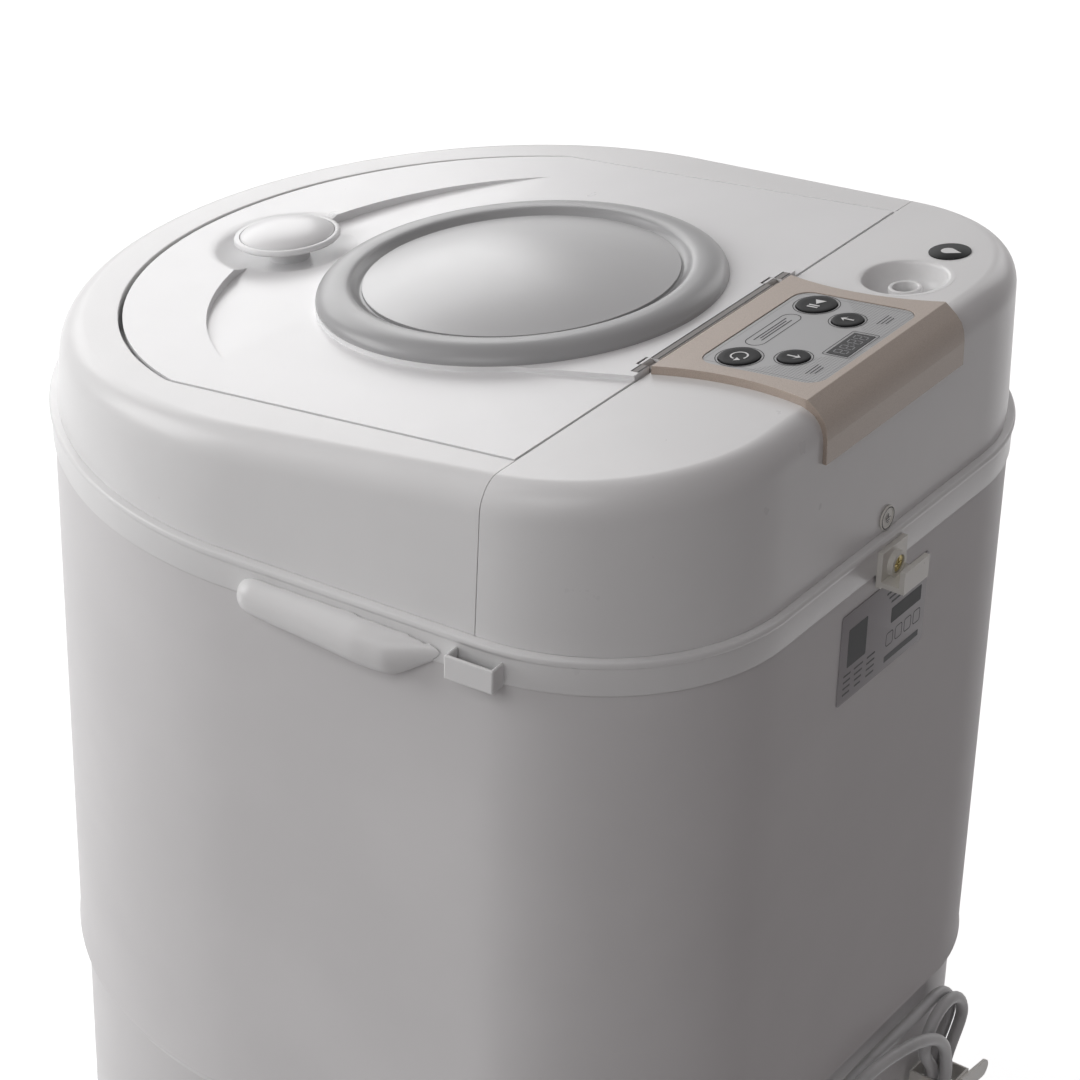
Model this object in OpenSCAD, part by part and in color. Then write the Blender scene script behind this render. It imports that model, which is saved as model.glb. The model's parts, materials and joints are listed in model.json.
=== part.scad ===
// Mini washing machine with a sloping round lid and a control console at the back.
// Millimetres, Z up, floor at z = 0, front towards -Y, user's right towards +X.

/* [Body outline] */
// Radius of the round front
front_r = 214; // [195:1:225]
// Distance of the front arc's centre ahead of the lid axis
front_ahead = 36; // [26:1:44]
// Radius of the two rear corners
corner_r = 107; // [92:1:112]
// Sideways distance of a rear corner's centre
corner_x = 97; // [92:1:100]
// Distance of the rear corners' centres behind the lid axis
corner_back = 115; // [112:1:122]
// Place of the lid axis behind the plan's centre
axis_y = 6; // [4:1:9]
// Wall of the plastic mouldings
wall = 3; // [2.5:0.1:3.4]

/* [Heights] */
// Height of the lid plane over the floor at the lid axis
lid_h = 600; // [590:1:640]
// Slope of the lid plane, falling to the front
tilt = 7; // [5.5:0.5:7.5]
// Height of the feet
foot_h = 10; // [8:0.5:14]
// Height of the seam between base and body
seam_z = 205; // [200:1:212]
// Depth of the trim band's lower edge under the lid plane
trim_drop = 84; // [80:1:100]
// Height of the trim band
trim_h = 19; // [15:0.5:20]

/* [Top housing] */
// Slant of the housing wall between the band and the shoulder
draft_in = 2; // [1:0.5:4]
// Inward run of the rounded shoulder
shoulder_in = 14; // [10:0.5:16]
// Drop of the rounded shoulder
shoulder_drop = 17; // [14:0.5:18]
// Distance of the console's front face behind the lid axis
console_back = 119; // [118.5:0.5:121]
// Width of the seam between front frame and console
seam_gap = 0.8; // [0.4:0.1:1.2]
// Radius of the loading opening
mouth_r = 130; // [120:1:134]

/* [Lid] */
// Radius of the lid's round front
lid_r = 180; // [176:1:182]
// Distance of the lid arc's centre ahead of the lid axis
lid_ahead = 33; // [28:1:36]
// Half width between the lid's straight sides
lid_half = 171; // [166:1:174]
// Thickness of the lid's skin
lid_t = 3; // [2.4:0.1:3.4]
// Gap all round the lid
lid_gap = 1.2; // [0.8:0.1:2]
// Depth of the recess that holds the lid
pocket_d = 14; // [13.5:0.1:16]
// Height of the raised panel on the lid
panel_h = 2.5; // [1.5:0.1:3]
// Half width of the raised panel at the hinge
panel_half = 73; // [68:1:76]
// Outer radius of the ring round the dome
ring_r = 106; // [100:0.5:107]
// Outer radius of the groove round the dome
groove_r = 87; // [86:0.5:88]
// Radius of the step in the front of the lid
step_r = 162; // [158:1:166]
// Depth of that step at the front
step_d = 5; // [3:0.5:6]
// Rise of the dome
dome_h = 11; // [8:0.5:14]
// Distance of the knob's centre ahead of the lid axis
knob_ahead = 155; // [152:1:156]
// Radius of the knob's rim
knob_r = 28.7; // [26:0.1:31]
// Radius of the finger scoop round the knob
scoop_r = 44; // [40:0.5:46]
// Depth of the finger scoop
scoop_d = 9; // [7:0.5:9.5]
// Distance of the hinge rod behind the lid axis
hinge_back = 113.8; // [113.4:0.1:114.2]
// Depth of the hinge rod's centre under the lid plane
hinge_deep = 1; // [0.8:0.1:1.2]
// Radius of the hinge rod
rod_r = 2; // [1.5:0.1:2.4]

/* [Console] */
// Half width of the control bezel at its corners
bezel_half = 65; // [62:1:68]
// Half width of the control bezel at its waist
waist_half = 57.5; // [55:0.5:60]
// How far the bezel stands proud of the console
bezel_h = 4.5; // [3.5:0.1:5]
// How far the bezel reaches down the back
leaf_h = 25; // [18:1:34]
// Size of the overlay, across
overlay_w = 97; // [92:1:100]
// Size of the overlay, front to back
overlay_l = 68; // [66:1:69]
// Distance of the overlay's centre behind the lid axis
overlay_back = 171.5; // [170.5:0.5:172]
// Radius of the two large buttons
big_r = 10.3; // [9:0.1:11]
// Radius of the two small buttons
small_r = 8; // [7:0.1:8.6]
// Travel of a button
press = 1; // [0.6:0.1:1.2]
// Radius of the water inlet dish
dish_r = 22; // [20:0.5:24]
// Depth of the water inlet dish
dish_d = 14; // [12:0.5:16]
// Outer radius of the water inlet spigot
spigot_r = 8.7; // [8:0.1:9.5]
// Depth of the spigot's tip under the console top
spigot_deep = 5; // [4:0.5:6]

/* [Side and back fittings] */
// Length of a hand grip
grip_l = 118; // [100:1:124]
// How far a hand grip stands out
grip_out = 14; // [13:0.5:16]
// Length of the hose bracket
bracket_l = 27; // [24:1:32]
// How far the hose bracket stands out
bracket_out = 10; // [9:0.5:12]
// Width of the rating plate
label_w = 84; // [60:1:100]
// Height of the rating plate
label_h = 52; // [35:1:56]

/* [Tub and drive] */
// Inner radius of the wash tub
tub_r = 156; // [150:1:160]
// Distance of the tub's centre ahead of the lid axis
tub_ahead = 30; // [28:1:34]
// Height of the tub's floor over the base deck
tub_floor = 34; // [32:1:44]
// Radius of the pulsator
pulsator_r = 124; // [110:1:130]
// Radius of the drive shaft
shaft_r = 8; // [7:0.5:9]
// Running clearance between a shaft and its bearing
run_gap = 0.05; // [0.03:0.01:0.08]
// Pitch radius of the tub pulley
pulley_r = 70; // [60:1:76]
// Pitch radius of the motor pulley
pinion_r = 20; // [17:1:24]
// Distance between the tub shaft and the motor shaft
belt_span = 140; // [136:1:146]
// Height of the belt's middle over the floor
belt_z = 61; // [58:1:70]
// Radius of the motor
motor_r = 52; // [44:1:56]
// Outer radius of the drain spout
drain_r = 15; // [12:0.5:16]

/* [Hidden] */
big = 700;
thin = 0.1;
trim_z = lid_h - trim_drop;
trim_top = trim_z + trim_h;
console_y = axis_y + console_back;
tub_y = axis_y - tub_ahead;
motor_y = tub_y + belt_span;
back_y = axis_y + corner_back + corner_r;
fit_gap = 0.3;

// Outline of the machine seen from above, about the lid axis, grown by o
side_dx = corner_x;
side_dy = corner_back + front_ahead;
side_angle = atan2(side_dy, side_dx) - acos((front_r - corner_r) / norm([side_dx, side_dy]));
function arc(c, r, a0, a1, n) =
    [for (i = [0:n]) let (a = a0 + (a1 - a0) * i / n) [c.x + r * cos(a), c.y + r * sin(a)]];
front_steps = 40;
corner_steps = 14;
function outline(o) = concat(
    arc([corner_x, corner_back], corner_r + o, side_angle, 90, corner_steps),
    arc([-corner_x, corner_back], corner_r + o, 90, 180 - side_angle, corner_steps),
    arc([0, -front_ahead], front_r + o, 180 - side_angle, 360 + side_angle, front_steps));
function on_plane(points, w) =
    [for (p = points) [p.x, (p.y + w * sin(tilt)) / cos(tilt)]];
// Distance of the straight side wall from the lid axis, along its normal
side_reach = front_r - front_ahead * sin(side_angle);
side_foot = side_reach * tan(side_angle);

// Places children in the sloping lid plane, with its origin on the lid axis
module on_lid() {
    translate([0, axis_y, lid_h]) rotate([tilt, 0, 0]) children();
}
// Places children on a side wall, behind the lid axis: X to the back, Y up, Z outwards
module on_side(side, along, z) {
    mirror([side > 0 ? 0 : 1, 0, 0])
        translate([0, axis_y, z])
            rotate([0, 0, side_angle])
                translate([side_reach, along / cos(side_angle) - side_foot, 0])
                    rotate([90, 0, 90]) children();
}
module level_slab(o, z0, z1) {
    translate([0, axis_y, z0]) linear_extrude(z1 - z0) polygon(outline(o));
}
module ring_slab(o, t, z0, z1) {
    difference() {
        level_slab(o, z0, z1);
        level_slab(o - t, z0 - 1, z1 + 1);
    }
}

// Whole top housing as one closed form, grown by g, standing on z0
shoulder_steps = 5;
band_in = 2;
module housing(g, z0) {
    hull() {
        level_slab(g - band_in, z0, z0 + thin);
        for (i = [0:shoulder_steps]) {
            a = 90 * i / shoulder_steps;
            inset = band_in + draft_in + shoulder_in * (1 - cos(a));
            w = g - shoulder_drop * (1 - sin(a));
            on_lid() translate([0, 0, w - thin])
                linear_extrude(thin) polygon(on_plane(outline(g - inset), w));
        }
    }
}
module before_console(d) {
    translate([-big / 2, console_y - d - big, 0]) cube([big, big, 2 * big]);
}
module behind_console(d) {
    translate([-big / 2, console_y + d, 0]) cube([big, big, 2 * big]);
}
// Height of the console's back wall surface in Y, at height z
wall_top_z = lid_h + (back_y - axis_y) * tan(tilt) - shoulder_drop;
function back_wall_y(z) = back_y - band_in - draft_in * (z - trim_top) / (wall_top_z - trim_top);

// Lid outline as a solid between two depths, grown by o, cut off at the hinge side
module lid_prism(o, w0, w1, rear) {
    half = lid_half + o;
    intersection() {
        union() {
            translate([0, -lid_ahead, w0]) cylinder(r = lid_r + o, h = w1 - w0, $fn = 160);
            translate([-half, -lid_ahead, w0]) cube([2 * half, lid_ahead + rear, w1 - w0]);
        }
        translate([-half, -big / 2, w0]) cube([2 * half, big / 2 + rear, w1 - w0]);
    }
}

collar_t = 3;
flange_z = trim_top + 3;
mouth_flange = tub_r + 10;
duct_x = -94;
duct_z = flange_z + 22;
duct_r = 9;
duct_gap = 0.2;
module front_frame() {
    color("whitesmoke")
    difference() {
        union() {
            intersection() {
                difference() {
                    housing(0, trim_top);
                    housing(-wall, trim_top - 1);
                }
                before_console(seam_gap / 2);
            }
            intersection() {
                housing(-1, trim_top);
                on_lid() lid_prism(lid_gap + wall, -pocket_d - wall, 0, big / 2);
                before_console(seam_gap / 2);
            }
            translate([0, tub_y, flange_z]) cylinder(r = mouth_flange, h = wall, $fn = 128);
            intersection() {
                translate([0, tub_y, flange_z]) cylinder(r = mouth_r + collar_t, h = 70, $fn = 128);
                on_lid() translate([0, 0, -big - pocket_d]) cube([big, big, 2 * big], center = true);
            }
        }
        on_lid() lid_prism(lid_gap, -pocket_d, 30, big / 2);
        translate([0, tub_y, flange_z - 1]) cylinder(r = mouth_r, h = 100, $fn = 128);
        translate([duct_x, tub_y, duct_z]) rotate([-90, 0, 0])
            cylinder(r = duct_r + duct_gap, h = big, $fn = 48);
    }
}

overlay_corner = 9;
overlay_t = 1.2;
overlay_deep = 1.6;
window_w = 84;
window_l = 58;
board_t = 1.6;
board_w = 100;
board_l = 70;
board_deep = 8;
post_r = 3;
post_x = board_w / 2 - 4;
post_y = board_l / 2 - 3.5;
dish_x = -94;
dish_back = 170;
dish_wall = 2;
lug_r = 3.4;
lug_w = 8;
lug_x = 52;
rod_fit = 0.02;
module rounded_plate(w, l, r, h) {
    linear_extrude(h) polygon(concat(
        arc([w / 2 - r, l / 2 - r], r, 0, 90, 8),
        arc([r - w / 2, l / 2 - r], r, 90, 180, 8),
        arc([r - w / 2, r - l / 2], r, 180, 270, 8),
        arc([w / 2 - r, r - l / 2], r, 270, 360, 8)));
}
module board_posts(r, w0, w1) {
    for (sx = [-1, 1]) {
        for (sy = [-1, 1]) {
            on_lid() translate([sx * post_x, overlay_back + sy * post_y, w0])
                cylinder(r = r, h = w1 - w0, $fn = 24);
        }
    }
}
module console_lugs() {
    for (s = [-1, 1]) {
        intersection() {
            on_lid() translate([s * (lug_x + lug_w / 2), hinge_back, -hinge_deep]) {
                rotate([0, 90, 0]) cylinder(r = lug_r, h = lug_w, center = true, $fn = 48);
                translate([-lug_w / 2, 0, -lug_r]) cube([lug_w, 12, 2 * lug_r - 1.4]);
            }
            before_console(-seam_gap / 2 - 1);
        }
    }
}
module console_housing() {
    color("whitesmoke")
    difference() {
        union() {
            difference() {
                intersection() {
                    housing(0, trim_top);
                    behind_console(seam_gap / 2);
                }
                intersection() {
                    housing(-wall, trim_top - 1);
                    behind_console(seam_gap / 2 + wall);
                }
            }
            board_posts(post_r, board_t - board_deep, -wall + thin);
            console_lugs();
        }
        on_lid() translate([0, overlay_back, -wall - 1]) rounded_plate(window_w, window_l, 4, 10);
        on_lid() translate([dish_x, dish_back, -wall - 2])
            cylinder(r = dish_r + dish_wall, h = 10, $fn = 64);
        board_posts(1, -board_deep, -1);
        translate([0, tub_y, trim_top - 1])
            cylinder(r = mouth_flange + 1, h = flange_z + wall + 1.5 - trim_top, $fn = 128);
        translate([duct_x, tub_y, duct_z]) rotate([-90, 0, 0])
            cylinder(r = duct_r + duct_gap, h = console_back + tub_ahead + 20, $fn = 48);
        on_lid() translate([0, hinge_back, -hinge_deep]) rotate([0, 90, 0])
            cylinder(r = rod_r + rod_fit, h = 2 * panel_half, center = true, $fn = 48);
    }
}

bead_out = 2.4;
band_out = 1.2;
band_wall = 9;
bead_h = 4;
module trim_band() {
    color("whitesmoke") {
        difference() {
            union() {
                level_slab(band_out, trim_z, trim_top - bead_h);
                level_slab((band_out + bead_out) / 2, trim_top - bead_h, trim_top);
                level_slab(bead_out, trim_top - 0.75 * bead_h, trim_top - bead_h / 4);
            }
            level_slab(-band_wall, trim_z - 1, trim_top + 1);
        }
    }
}

grip_along = 46.5;
grip_z = trim_z + 1;
grip_nose_r = 10.5;
grip_belly_r = 12.5;
grip_tail_r = 5;
grip_step = 1.1;
seat_gap = 0.05;
finger_l = 62;
finger_deep = 7.5;
finger_roof = 2;
module hand_grip() {
    difference() {
        hull() {
            translate([grip_nose_r - grip_l / 2, 1, grip_out - 3.5 - grip_nose_r])
                sphere(r = grip_nose_r, $fn = 40);
            translate([14, -1.5, grip_out - grip_belly_r]) sphere(r = grip_belly_r, $fn = 40);
            translate([28, -2.5, grip_out - 1 - grip_belly_r]) sphere(r = grip_belly_r, $fn = 40);
            translate([grip_l / 2 - grip_tail_r, 5, -grip_tail_r / 2]) sphere(r = grip_tail_r, $fn = 40);
        }
        translate([-grip_l, -grip_step, -grip_l]) cube([2 * grip_l, grip_l, grip_l + band_out + seat_gap]);
        translate([-grip_l, -grip_l, -grip_l]) cube([2 * grip_l, grip_l, grip_l + seat_gap]);
        translate([-finger_l / 2, -grip_l - finger_roof, -1]) cube([finger_l, grip_l, finger_deep + 1]);
    }
}
module hand_grips() {
    color("whitesmoke") {
        for (s = [-1, 1]) {
            on_side(s, grip_along, grip_z) hand_grip();
        }
    }
}

bracket_along = 124;
bracket_z = trim_z + 6.4;
bracket_h = 13;
bracket_t = 2;
bracket_seat = band_out + seat_gap;
module hose_bracket() {
    color("whitesmoke")
    on_side(1, bracket_along, bracket_z) translate([0, 0, bracket_seat])
    difference() {
        translate([-bracket_l / 2, -bracket_h / 2, 0]) cube([bracket_l, bracket_h, bracket_out]);
        translate([bracket_t - bracket_l / 2, -bracket_h, -1])
            cube([bracket_l - 2 * bracket_t, 2 * bracket_h, bracket_out - bracket_t + 1]);
    }
}

module body_shell() {
    color("white") ring_slab(0, wall, seam_z, trim_z);
}

base_in = 4;
groove_in = 9;
groove_h = 6;
deck_t = 4;
hub_hole = 34;
side_wall_x = front_r;
spout_y = axis_y - front_ahead;
spout_z = 70;
spout_out = 8;
drain_x = -116;
module base_skirt() {
    color("white")
    difference() {
        union() {
            level_slab(-base_in, foot_h + 4, seam_z - groove_h);
            level_slab(-groove_in, seam_z - groove_h - 1, seam_z);
        }
        level_slab(-base_in - wall, foot_h + 3, seam_z - groove_h - wall);
        level_slab(-groove_in - wall, foot_h + 3, seam_z - deck_t);
        translate([0, tub_y, seam_z - deck_t - 1]) cylinder(r = hub_hole, h = deck_t + 2, $fn = 96);
        translate([drain_x, spout_y, seam_z - deck_t - 1])
            cylinder(r = drain_r + fit_gap, h = deck_t + 2, $fn = 48);
        translate([-side_wall_x - 10, spout_y, spout_z]) rotate([0, 90, 0])
            cylinder(r = drain_r + fit_gap, h = 40, $fn = 48);
    }
}

foot_places = [[-135, -140], [135, -140], [-135, 160], [135, 160]];
foot_r = 18;
vent_l = 120;
vent_w = 8;
module base_cover() {
    color("gainsboro")
    difference() {
        level_slab(-base_in, foot_h, foot_h + 4);
        for (i = [-3:3]) {
            translate([i * 22 - vent_w / 2, tub_y - vent_l / 2, foot_h - 1]) cube([vent_w, vent_l, 6]);
        }
    }
}
module rubber_feet() {
    color("dimgray")
    for (p = foot_places) {
        translate([p.x, p.y, 0])
        difference() {
            cylinder(r1 = foot_r - 3, r2 = foot_r, h = foot_h, $fn = 48);
            translate([0, 0, -1]) cylinder(r = 6, h = 6, $fn = 32);
        }
    }
}
module foot_screws() {
    color("silver")
    for (p = foot_places) {
        translate([p.x, p.y, 1.5]) cylinder(r = 5, h = 3.4, $fn = 32);
    }
}

hook_z = trim_z + 3;
hook_w = 24;
hook_tall = 20;
hook_plate = 3;
boss_out = 3;
lip_out = 16;
lip_t = 3;
lip_top = 3.5;
lip_floor = 9;
screw_r = 4.5;
hook_y = back_y + band_out;
module rear_hook() {
    color("ivory")
    translate([0, hook_y, hook_z])
    difference() {
        union() {
            translate([-hook_w / 2, 0, -hook_tall / 2]) cube([hook_w, hook_plate, hook_tall]);
            rotate([-90, 0, 0]) cylinder(r = screw_r + 2.5, h = hook_plate + boss_out, $fn = 48);
            translate([-hook_w / 2, 0, -lip_floor]) cube([hook_w, lip_out, lip_t]);
            translate([-hook_w / 2, lip_out - lip_t, -lip_floor]) cube([hook_w, lip_t, lip_floor + lip_top]);
        }
        translate([0, hook_plate, 0]) rotate([-90, 0, 0])
            cylinder(r = screw_r + fit_gap, h = boss_out + 1, $fn = 48);
    }
}
module hook_screw() {
    color("darkkhaki")
    translate([0, hook_y + hook_plate, hook_z]) rotate([-90, 0, 0])
    difference() {
        cylinder(r = screw_r, h = 2.2, $fn = 48);
        for (a = [0, 90]) {
            rotate([0, 0, a]) translate([-3, -0.5, 1]) cube([6, 1, 2]);
        }
    }
}
mark_x = 0.5;
mark_z = trim_top + 7.2;
module earth_mark() {
    color("whitesmoke")
    translate([mark_x, back_wall_y(mark_z) + 0.2, mark_z]) rotate([-90, 0, 0])
    difference() {
        cylinder(r = 6.5, h = 1, $fn = 48);
        translate([0, 0, 0.5]) cylinder(r = 5.2, h = 1, $fn = 48);
    }
}
plate_x = -1.5;
plate_z = trim_z - 37.5;
module rating_plate() {
    color("silver")
    translate([plate_x - label_w / 2, back_y, plate_z - label_h / 2]) cube([label_w, 0.6, label_h]);
}

leaf_z = lid_h + (console_back + 80) * tan(tilt) - leaf_h;
leaf_t = 2.2;
crease_back = (corner_back + corner_r - band_in - draft_in - shoulder_in + bezel_h) / cos(tilt);
waist_back = 163;
waist_r = 147;
// Bezel surface: a flat top that breaks sharply into the leaf over the console's back
module bezel_form() {
    hull() {
        housing(leaf_t, trim_top);
        on_lid() translate([-bezel_half - 4, console_back, bezel_h - thin])
            cube([2 * bezel_half + 8, crease_back - console_back, thin]);
    }
}
module control_bezel() {
    color("rosybrown")
    difference() {
        intersection() {
            difference() {
                bezel_form();
                housing(0, trim_top - 1);
            }
            translate([-bezel_half, console_y + 1.5, leaf_z]) cube([2 * bezel_half, 200, 200]);
        }
        for (s = [-1, 1]) {
            on_lid() translate([s * (waist_half + waist_r), waist_back, -big / 2])
                cylinder(r = waist_r, h = big, $fn = 240);
        }
        on_lid() translate([0, overlay_back, -1]) rounded_plate(window_w, window_l, 4, 20);
        on_lid() translate([0, overlay_back, bezel_h - overlay_deep])
            rounded_plate(overlay_w + 0.4, overlay_l + 0.4, overlay_corner + 0.2, 10);
        for (s = [-1, 1]) {
            on_lid() translate([s * big_x, big_back, -1])
                cylinder(r = big_r + flange_out + button_gap, h = 10, $fn = 64);
        }
    }
}

big_x = 35.5;
big_back = 154;
small_x = 25;
small_back = 178;
screen_w = 27;
screen_l = 12;
screen_back = 194.8;
button_gap = 0.3;
overlay_w0 = bezel_h - overlay_deep;
module overlay_panel() {
    color("darkgray")
    on_lid()
    difference() {
        translate([0, overlay_back, overlay_w0]) rounded_plate(overlay_w, overlay_l, overlay_corner, overlay_t);
        for (s = [-1, 1]) {
            translate([s * big_x, big_back, 0]) cylinder(r = big_r + button_gap, h = 20, $fn = 64);
            translate([s * small_x, small_back, 0]) cylinder(r = small_r + button_gap, h = 20, $fn = 64);
        }
        translate([-screen_w / 2 - 0.1, screen_back - screen_l / 2 - 0.1, 0])
            cube([screen_w + 0.2, screen_l + 0.2, 20]);
    }
}
module display_window() {
    color("black")
    on_lid() translate([-screen_w / 2, screen_back - screen_l / 2, overlay_w0])
        cube([screen_w, screen_l, overlay_t + 0.1]);
}
button_rise = 0.8;
flange_out = 1;
flange_t = 1;
stem_r = 3;
switch_top = -1.4;
module button(x, back, r) {
    top = overlay_w0 + overlay_t + button_rise;
    under = overlay_w0 - button_gap;
    on_lid() translate([x, back, 0]) {
        translate([0, 0, under - flange_t]) cylinder(r = r, h = top - under + flange_t, $fn = 64);
        translate([0, 0, under - flange_t]) cylinder(r = r + flange_out, h = flange_t, $fn = 64);
        translate([0, 0, switch_top + press + 0.05])
            cylinder(r = stem_r, h = under - switch_top - press - 0.1, $fn = 32);
    }
}
module program_button() {
    color("black") button(big_x, big_back, big_r);
}
module start_button() {
    color("black") button(-big_x, big_back, big_r);
}
module time_up_button() {
    color("black") button(small_x, small_back, small_r);
}
module time_down_button() {
    color("black") button(-small_x, small_back, small_r);
}
switch_half = 4;
module control_board() {
    color("seagreen")
    on_lid() difference() {
        union() {
            translate([-board_w / 2, overlay_back - board_l / 2, -board_deep]) cube([board_w, board_l, board_t]);
            for (s = [-1, 1]) {
                translate([s * big_x - switch_half, big_back - switch_half, -board_deep])
                    cube([2 * switch_half, 2 * switch_half, board_deep + switch_top]);
                translate([s * small_x - switch_half, small_back - switch_half, -board_deep])
                    cube([2 * switch_half, 2 * switch_half, board_deep + switch_top]);
            }
            translate([-screen_w / 2 + 1, screen_back - screen_l / 2 + 1, -board_deep])
                cube([screen_w - 2, screen_l - 2, board_deep + overlay_w0 - fit_gap]);
            translate([-30, overlay_back - 6, -board_deep - 8]) cube([24, 20, 8]);
        }
        for (sx = [-1, 1]) {
            for (sy = [-1, 1]) {
                translate([sx * post_x, overlay_back + sy * post_y, -board_deep - 1])
                    cylinder(r = 1.3, h = 4, $fn = 24);
            }
        }
    }
}
module board_screws() {
    color("silver")
    for (sx = [-1, 1]) {
        for (sy = [-1, 1]) {
            on_lid() translate([sx * post_x, overlay_back + sy * post_y, -board_deep - 1.5]) {
                cylinder(r = 2.2, h = 1.5, $fn = 24);
                cylinder(r = 0.98, h = 5, $fn = 24);
            }
        }
    }
}

spigot_wall = 2.2;
module inlet_spigot() {
    color("whitesmoke")
    on_lid() translate([dish_x, dish_back, 0])
    difference() {
        union() {
            difference() {
                union() {
                    translate([0, 0, -dish_d - dish_wall])
                        cylinder(r = dish_r + dish_wall - 0.1, h = dish_d + dish_wall, $fn = 64);
                    cylinder(r = dish_r + dish_wall + 1.4, h = 0.6, $fn = 64);
                }
                translate([0, 0, -dish_d]) cylinder(r = dish_r, h = dish_d + 5, $fn = 64);
            }
            translate([0, 0, -dish_d - 1]) cylinder(r = spigot_r, h = dish_d + 1 - spigot_deep, $fn = 64);
        }
        translate([0, 0, -dish_d - 10]) cylinder(r = spigot_r - spigot_wall, h = 40, $fn = 64);
    }
}
duct_top = lid_h + dish_back * sin(tilt) - dish_d - dish_wall - 4;
duct_y = axis_y + dish_back * cos(tilt) + (dish_d + dish_wall) * sin(tilt);
duct_wall = 2;
duct_start = 70;
module inlet_duct() {
    color("gainsboro")
    difference() {
        union() {
            intersection() {
                translate([duct_x, duct_y, duct_z]) cylinder(r = duct_r, h = big, $fn = 48);
                on_lid() translate([0, 0, -big - dish_d - dish_wall]) cube([big * 2, big * 2, 2 * big], center = true);
            }
            translate([duct_x, tub_y + duct_start, duct_z]) rotate([-90, 0, 0])
                cylinder(r = duct_r, h = duct_y - tub_y - duct_start, $fn = 48);
            translate([duct_x, duct_y, duct_z]) sphere(r = duct_r, $fn = 48);
        }
        translate([duct_x, duct_y, duct_z]) cylinder(r = duct_r - duct_wall, h = big, $fn = 48);
        translate([duct_x, tub_y, duct_z]) rotate([-90, 0, 0])
            cylinder(r = duct_r - duct_wall, h = duct_y - tub_y, $fn = 48);
    }
}
badge_x = -133;
badge_back = 174;
module inlet_badge() {
    color("black")
    on_lid() translate([badge_x, badge_back, 0]) cylinder(r = 11, h = 0.6, $fn = 64);
}

tub_t = 3;
tub_z = seam_z + tub_floor;
stand_r = 120;
module wash_tub() {
    color("ghostwhite")
    translate([0, tub_y, 0])
    difference() {
        union() {
            translate([0, 0, tub_z - tub_t]) cylinder(r = tub_r + tub_t, h = trim_top - tub_z + tub_t, $fn = 160);
            translate([0, 0, trim_top]) cylinder(r = tub_r + 9, h = flange_z - trim_top, $fn = 160);
        }
        translate([0, 0, tub_z]) cylinder(r = tub_r, h = big, $fn = 160);
        translate([0, 0, tub_z - 20]) cylinder(r = housing_r + fit_gap, h = 40, $fn = 64);
        translate([drain_x, spout_y - tub_y, 0]) {
            for (a = [0:60:300]) {
                rotate([0, 0, a]) translate([7, 0, tub_z - 10]) cylinder(r = 2.4, h = 20, $fn = 24);
            }
        }
    }
}
module tub_stand() {
    color("gainsboro")
    difference() {
        translate([0, tub_y, seam_z]) cylinder(r = stand_r + tub_t, h = tub_floor - tub_t, $fn = 128);
        translate([0, tub_y, seam_z - 1]) cylinder(r = stand_r, h = tub_floor, $fn = 128);
        translate([drain_x, spout_y, seam_z - 1]) cylinder(r = drain_r + fit_gap, h = tub_floor, $fn = 48);
    }
}
drain_wall = 2;
drain_step = 1.2;
spout_l = 10;
module drain_pipe() {
    color("gainsboro")
    difference() {
        union() {
            translate([drain_x, spout_y, spout_z])
                cylinder(r = drain_r, h = tub_z - tub_t - spout_z, $fn = 48);
            translate([drain_x, spout_y, spout_z]) sphere(r = drain_r, $fn = 48);
            translate([drain_x, spout_y, spout_z]) rotate([0, -90, 0])
                cylinder(r = drain_r - drain_step, h = side_wall_x + spout_out + drain_x, $fn = 48);
            translate([-side_wall_x - spout_out, spout_y, spout_z]) rotate([0, 90, 0])
                cylinder(r = drain_r, h = spout_l, $fn = 48);
        }
        translate([drain_x, spout_y, spout_z])
            cylinder(r = drain_r - drain_step - drain_wall, h = tub_z - spout_z, $fn = 48);
        translate([drain_x, spout_y, spout_z]) rotate([0, -90, 0])
            cylinder(r = drain_r - drain_step - drain_wall, h = side_wall_x + spout_out, $fn = 48);
    }
}

housing_r = 30;
bore_r = 16;
housing_bottom = 92;
bearing_h = 10;
hub_top = tub_z + 4;
module bearing_housing() {
    color("slategray")
    translate([0, tub_y, 0])
    difference() {
        union() {
            translate([0, 0, housing_bottom]) cylinder(r = housing_r, h = hub_top - housing_bottom, $fn = 96);
            translate([0, 0, tub_z - tub_t - 5]) cylinder(r = housing_r + 16, h = 5, $fn = 96);
        }
        translate([0, 0, housing_bottom - 1]) cylinder(r = bore_r, h = big, $fn = 96);
    }
}
module bush(r0, r1, z, h) {
    translate([0, tub_y, z])
    difference() {
        cylinder(r = r1, h = h, $fn = 96);
        translate([0, 0, -1]) cylinder(r = r0, h = h + 2, $fn = 96);
    }
}
module shaft_bearings() {
    color("lightsteelblue") {
        bush(shaft_r + run_gap, bore_r, housing_bottom, bearing_h);
        bush(shaft_r + run_gap, bore_r, tub_z - 20, bearing_h);
    }
}
module water_seal() {
    color("dimgray") bush(shaft_r + run_gap, bore_r, tub_z - 8, 10);
}
shaft_top = hub_top + 26;
shaft_bottom = belt_z - 16;
module drive_shaft() {
    color("silver")
    translate([0, tub_y, 0])
    difference() {
        translate([0, 0, shaft_bottom]) cylinder(r = shaft_r, h = shaft_top - shaft_bottom, $fn = 96);
        translate([0, 0, shaft_top - 16]) cylinder(r = 3, h = 20, $fn = 32);
    }
}
fin_count = 6;
fin_h = 22;
fin_w = 12;
cone_r = 34;
cone_h = 27;
disc_z = hub_top + 4;
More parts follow.
